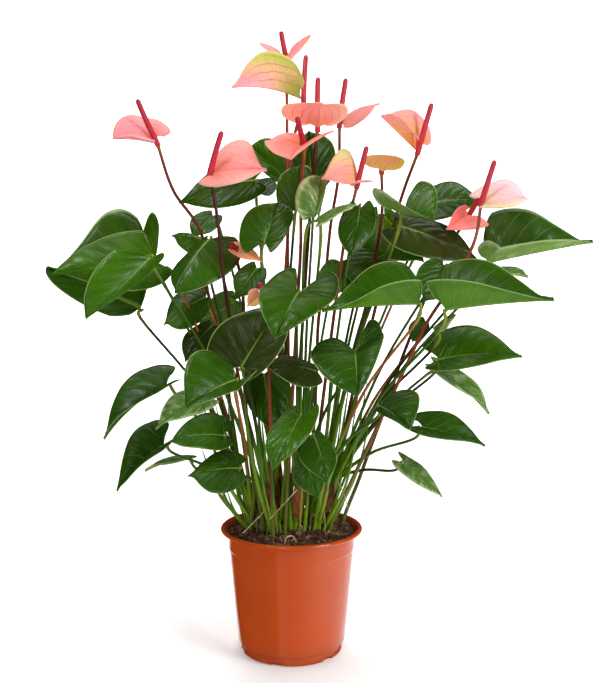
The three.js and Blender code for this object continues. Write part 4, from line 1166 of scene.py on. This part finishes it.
def makeSoil():
    rings, sectors = soil["rings"], soil["sectors"]
    points = [(0, 0, soilTopAt(0, 0))]
    for ring in range(1, rings + 1):
        radius = soilEdge * ring / rings
        fringe = max(0, (ring / rings - 1 + soil["fringe"]) / soil["fringe"])
        for x, y in turns(sectors):
            x, y = radius * x, radius * y
            spot = Vector((x, y, 0))
            crumb = noise.fractal(spot * 170, 0.6, 2.1, 4) + 0.7 * abs(noise.noise(spot * 420))
            height = (soilTopAt(x, y) + soil["crumb"] * crumb) * (1 - fringe)
            points.append((x, y, height + (soil["level"] + soil["brim"]) * fringe))
    floorRadius = pot["foot"] - pot["footStep"] - pot["wall"] - gap - soil["footClear"]
    for radius, height in ((soilEdge - soil["skirtIn"], soil["level"] - soil["skirtDown"]),
                           (floorRadius, pot["floor"] + gap)):
        points += [(radius * x, radius * y, height) for x, y in turns(sectors)]
    faces = [[0, 1 + s, 1 + (s + 1) % sectors] for s in range(sectors)]
    faces += numbered(quads(rings + 2, sectors, True, True), sectors, 1)
    faces.append([1 + (rings + 1) * sectors + s for s in range(sectors)][::-1])
    return makePiece("soil_mound", [soilFinish("bark soil", "452a16", "7d5330")], points, faces)


def makeChips():
    rng = np.random.default_rng(seeds["chips"])
    stock = Stock()
    for index in range(soil["chips"]):
        x, y, _ = levelWay(rng) * soilEdge * soil["within"] * math.sqrt(rng.uniform())
        size = rng.uniform(1.2, 3.4) * mm * (1.5 if rng.uniform() < 0.15 else 1)
        middle = np.array([x, y, soilTopAt(x, y) + rng.uniform(0, 1.2) * mm])
        ways, _ = np.linalg.qr(rng.normal(size=(3, 3)))
        ways = ways * np.array([1.5, 1.0, 0.5])[:, None] * size
        corners = []
        for ring, lift in ((0.75, -0.8), (1.0, 0.0), (0.7, 0.8)):
            for side in range(6):
                swing = 2 * math.pi * (side + 0.3 * lift) / 6
                wobble = ring * rng.uniform(0.75, 1.15)
                corners.append(middle + ways[0] * math.cos(swing) * wobble
                               + ways[1] * math.sin(swing) * wobble + ways[2] * lift)
        faces = numbered(quads(3, 6, True), 6) + ends(6, 3)
        if np.linalg.det(ways) < 0:
            faces = [face[::-1] for face in faces]
        stock.add(corners, faces, slot=int(rng.uniform() < 0.3))
    return stock.piece("bark_chips", [soilFinish("dark bark", "341f10", "6a4022"),
                                      soilFinish("light bark", "6e4a2a", "a88458")], False)


# Dry strands and roots seen at the plant's foot: each one's radius and the places it passes through
strands = [
    (0.9, [(297, 490, -45), (283, 505, -52), (270, 519, -58)]),
    (1.0, [(267, 508, -40), (256, 520, -48), (243, 533, -54)]),
    (0.8, [(337, 480, -22), (343, 492, -30), (348, 508, -36)]),
    (1.3, [(285, 543, -66), (286, 538, -68), (292, 536, -66), (296, 541, -64)]),
]


def makeStrands():
    stock = Stock()
    rng = np.random.default_rng(seeds["strands"])
    for radius, places in strands:
        tube(stock, stemCurve([at(place) for place in places], 18),
             lambda share: radius * mm * (1 - 0.4 * share), 8)
    for index in range(soil["fibres"]):
        middle = levelWay(rng) * rng.uniform(0.2, 0.92) * soilEdge
        turn, length = rng.uniform(0, 2 * math.pi), rng.uniform(8, 30) * mm
        spots = []
        for share in (-0.5, -0.1, 0.25, 0.5):
            x = middle[0] + length * share * math.cos(turn + share)
            y = middle[1] + length * share * math.sin(turn + share)
            shrink = min(1, soilEdge * soil["within"] / max(1e-6, math.hypot(x, y)))
            x, y = x * shrink, y * shrink
            spots.append((x, y, soilTopAt(x, y) + (1.8 - 6 * share * share) * mm))
        radius = rng.uniform(0.25, 0.8)
        tube(stock, stemCurve(spots, 12), lambda share: radius * mm * (1 - 0.5 * share), 6)
    return stock.piece("root_strands", [strandFinish("dry strand", "8a6a48", "d9c49c")])


for make in (makeSoil, makeChips, makeStrands):
    dress(make(), "soil", "bark_mix")
print("soil made")


# Floor, light and camera

studio = {"width": 6.0, "front": -4.0, "back": 2.4, "sweep": 1.0, "sweepSteps": 12, "height": 4.0,
          "world": 0.27}
# The card's inner and outer edge: radius, and the turn in degrees where each starts and ends
card = {"edges": ((0.068, -13, 288), (0.5, -24, 218)), "steps": 24, "height": 0.0006}


def makeFloor():
    back, sweep, steps = studio["back"], studio["sweep"], studio["sweepSteps"]
    profile = [(studio["front"], 0), (back, 0)]
    for step in range(1, steps + 1):
        angle = math.pi / 2 * step / steps
        profile.append((back + sweep * math.sin(angle), sweep * (1 - math.cos(angle))))
    profile.append((back + sweep, studio["height"]))
    points = [(x, y, z) for y, z in profile for x in (-studio["width"], studio["width"])]
    finish = Finish("pale floor")
    cloud = finish.noise(3, 2)
    depth = finish.parts(finish.spot())[1]
    # The floor and its sweep glow: painted light, faint in front of the plant, more behind it and most
    # towards the sweep
    lit = 0.02 + depth.step(-0.6, 0.5) * 0.3 + depth.step(1.2, 2.4) * 0.5
    material = finish.surface(finish.mix(cloud * 0.2, "fafafa", "f4f4f2"), 0.7 + cloud * 0.1,
                              glow=(finish.grey(lit), 1))
    floor = makePiece("floor", [material], points, numbered(quads(len(profile), 2), 2))
    floor.visible_glossy = False


def makeReflector():
    # A card on the floor that glows and that only the pot's gloss shows: a painted reflection, faint in
    # front and bright round the pot's right side; it leaves the pot's left side dark
    steps = card["steps"]
    points = []
    for step in range(steps + 1):
        for radius, first, last in card["edges"]:
            turn = math.radians(first + (last - first) * step / steps)
            points.append((radius * math.sin(turn), -radius * math.cos(turn), card["height"]))
    finish = Finish("reflector card")
    run, _ = finish.laid()
    lit = 0.2 + (1 - run.step(0, 0.03)) * 0.3 + run.step(0.04, 0.45) * 1.1
    material = finish.surface("040404", 0.5, glow=(finish.grey(lit), 1))
    stock = Stock()
    stock.addGrid(points, 2, lambda step, edge: (step / steps, edge))
    sheet = stock.piece("reflector", [material])
    sheet.visible_camera = sheet.visible_diffuse = sheet.visible_shadow = False
    sheet.visible_transmission = False


def addLight(name, place, target, size, power):
    lamp = bpy.data.lights.new(name, "AREA")
    lamp.shape = "RECTANGLE"
    lamp.size, lamp.size_y = size
    lamp.energy = power
    light = bpy.data.objects.new(name, lamp)
    light.location = place
    light.rotation_euler = (Vector(target) - Vector(place)).to_track_quat("-Z", "Y").to_euler()
    bpy.context.scene.collection.objects.link(light)


makeFloor()
makeReflector()
plantMiddle = (0, 0, 0.4)
addLight("key softbox", (1.5, -1.1, 1.2), plantMiddle, (0.7, 1.1), 25)
addLight("left strip", (-0.55, -2.2, 0.9), plantMiddle, (0.16, 1.3), 9)
addLight("top softbox", (-0.5, -0.35, 2.0), plantMiddle, (0.5, 0.4), 12)
addLight("back wash", (0, 1.4, 2.4), (0, 3.0, 0.6), (3.0, 1.0), 60)

world = bpy.data.worlds.new("studio")
world.use_nodes = True
world.node_tree.nodes["Background"].inputs["Color"].default_value = (1, 1, 1, 1)
world.node_tree.nodes["Background"].inputs["Strength"].default_value = studio["world"]
bpy.context.scene.world = world
world.cycles_visibility.glossy = False
bpy.context.scene.view_settings.view_transform = "Standard"

camera = bpy.data.cameras.new("camera")
camera.sensor_fit = "AUTO"
camera.sensor_width = 36
camera.lens = camera.sensor_width * view["focal"] / max(view["width"], view["tall"])
eye = bpy.data.objects.new("camera", camera)
eye.location = (view["side"], -view["distance"], view["height"])
eye.rotation_euler = (math.pi / 2 - view["pitch"], 0, 0)
bpy.context.scene.collection.objects.link(eye)
bpy.context.scene.camera = eye
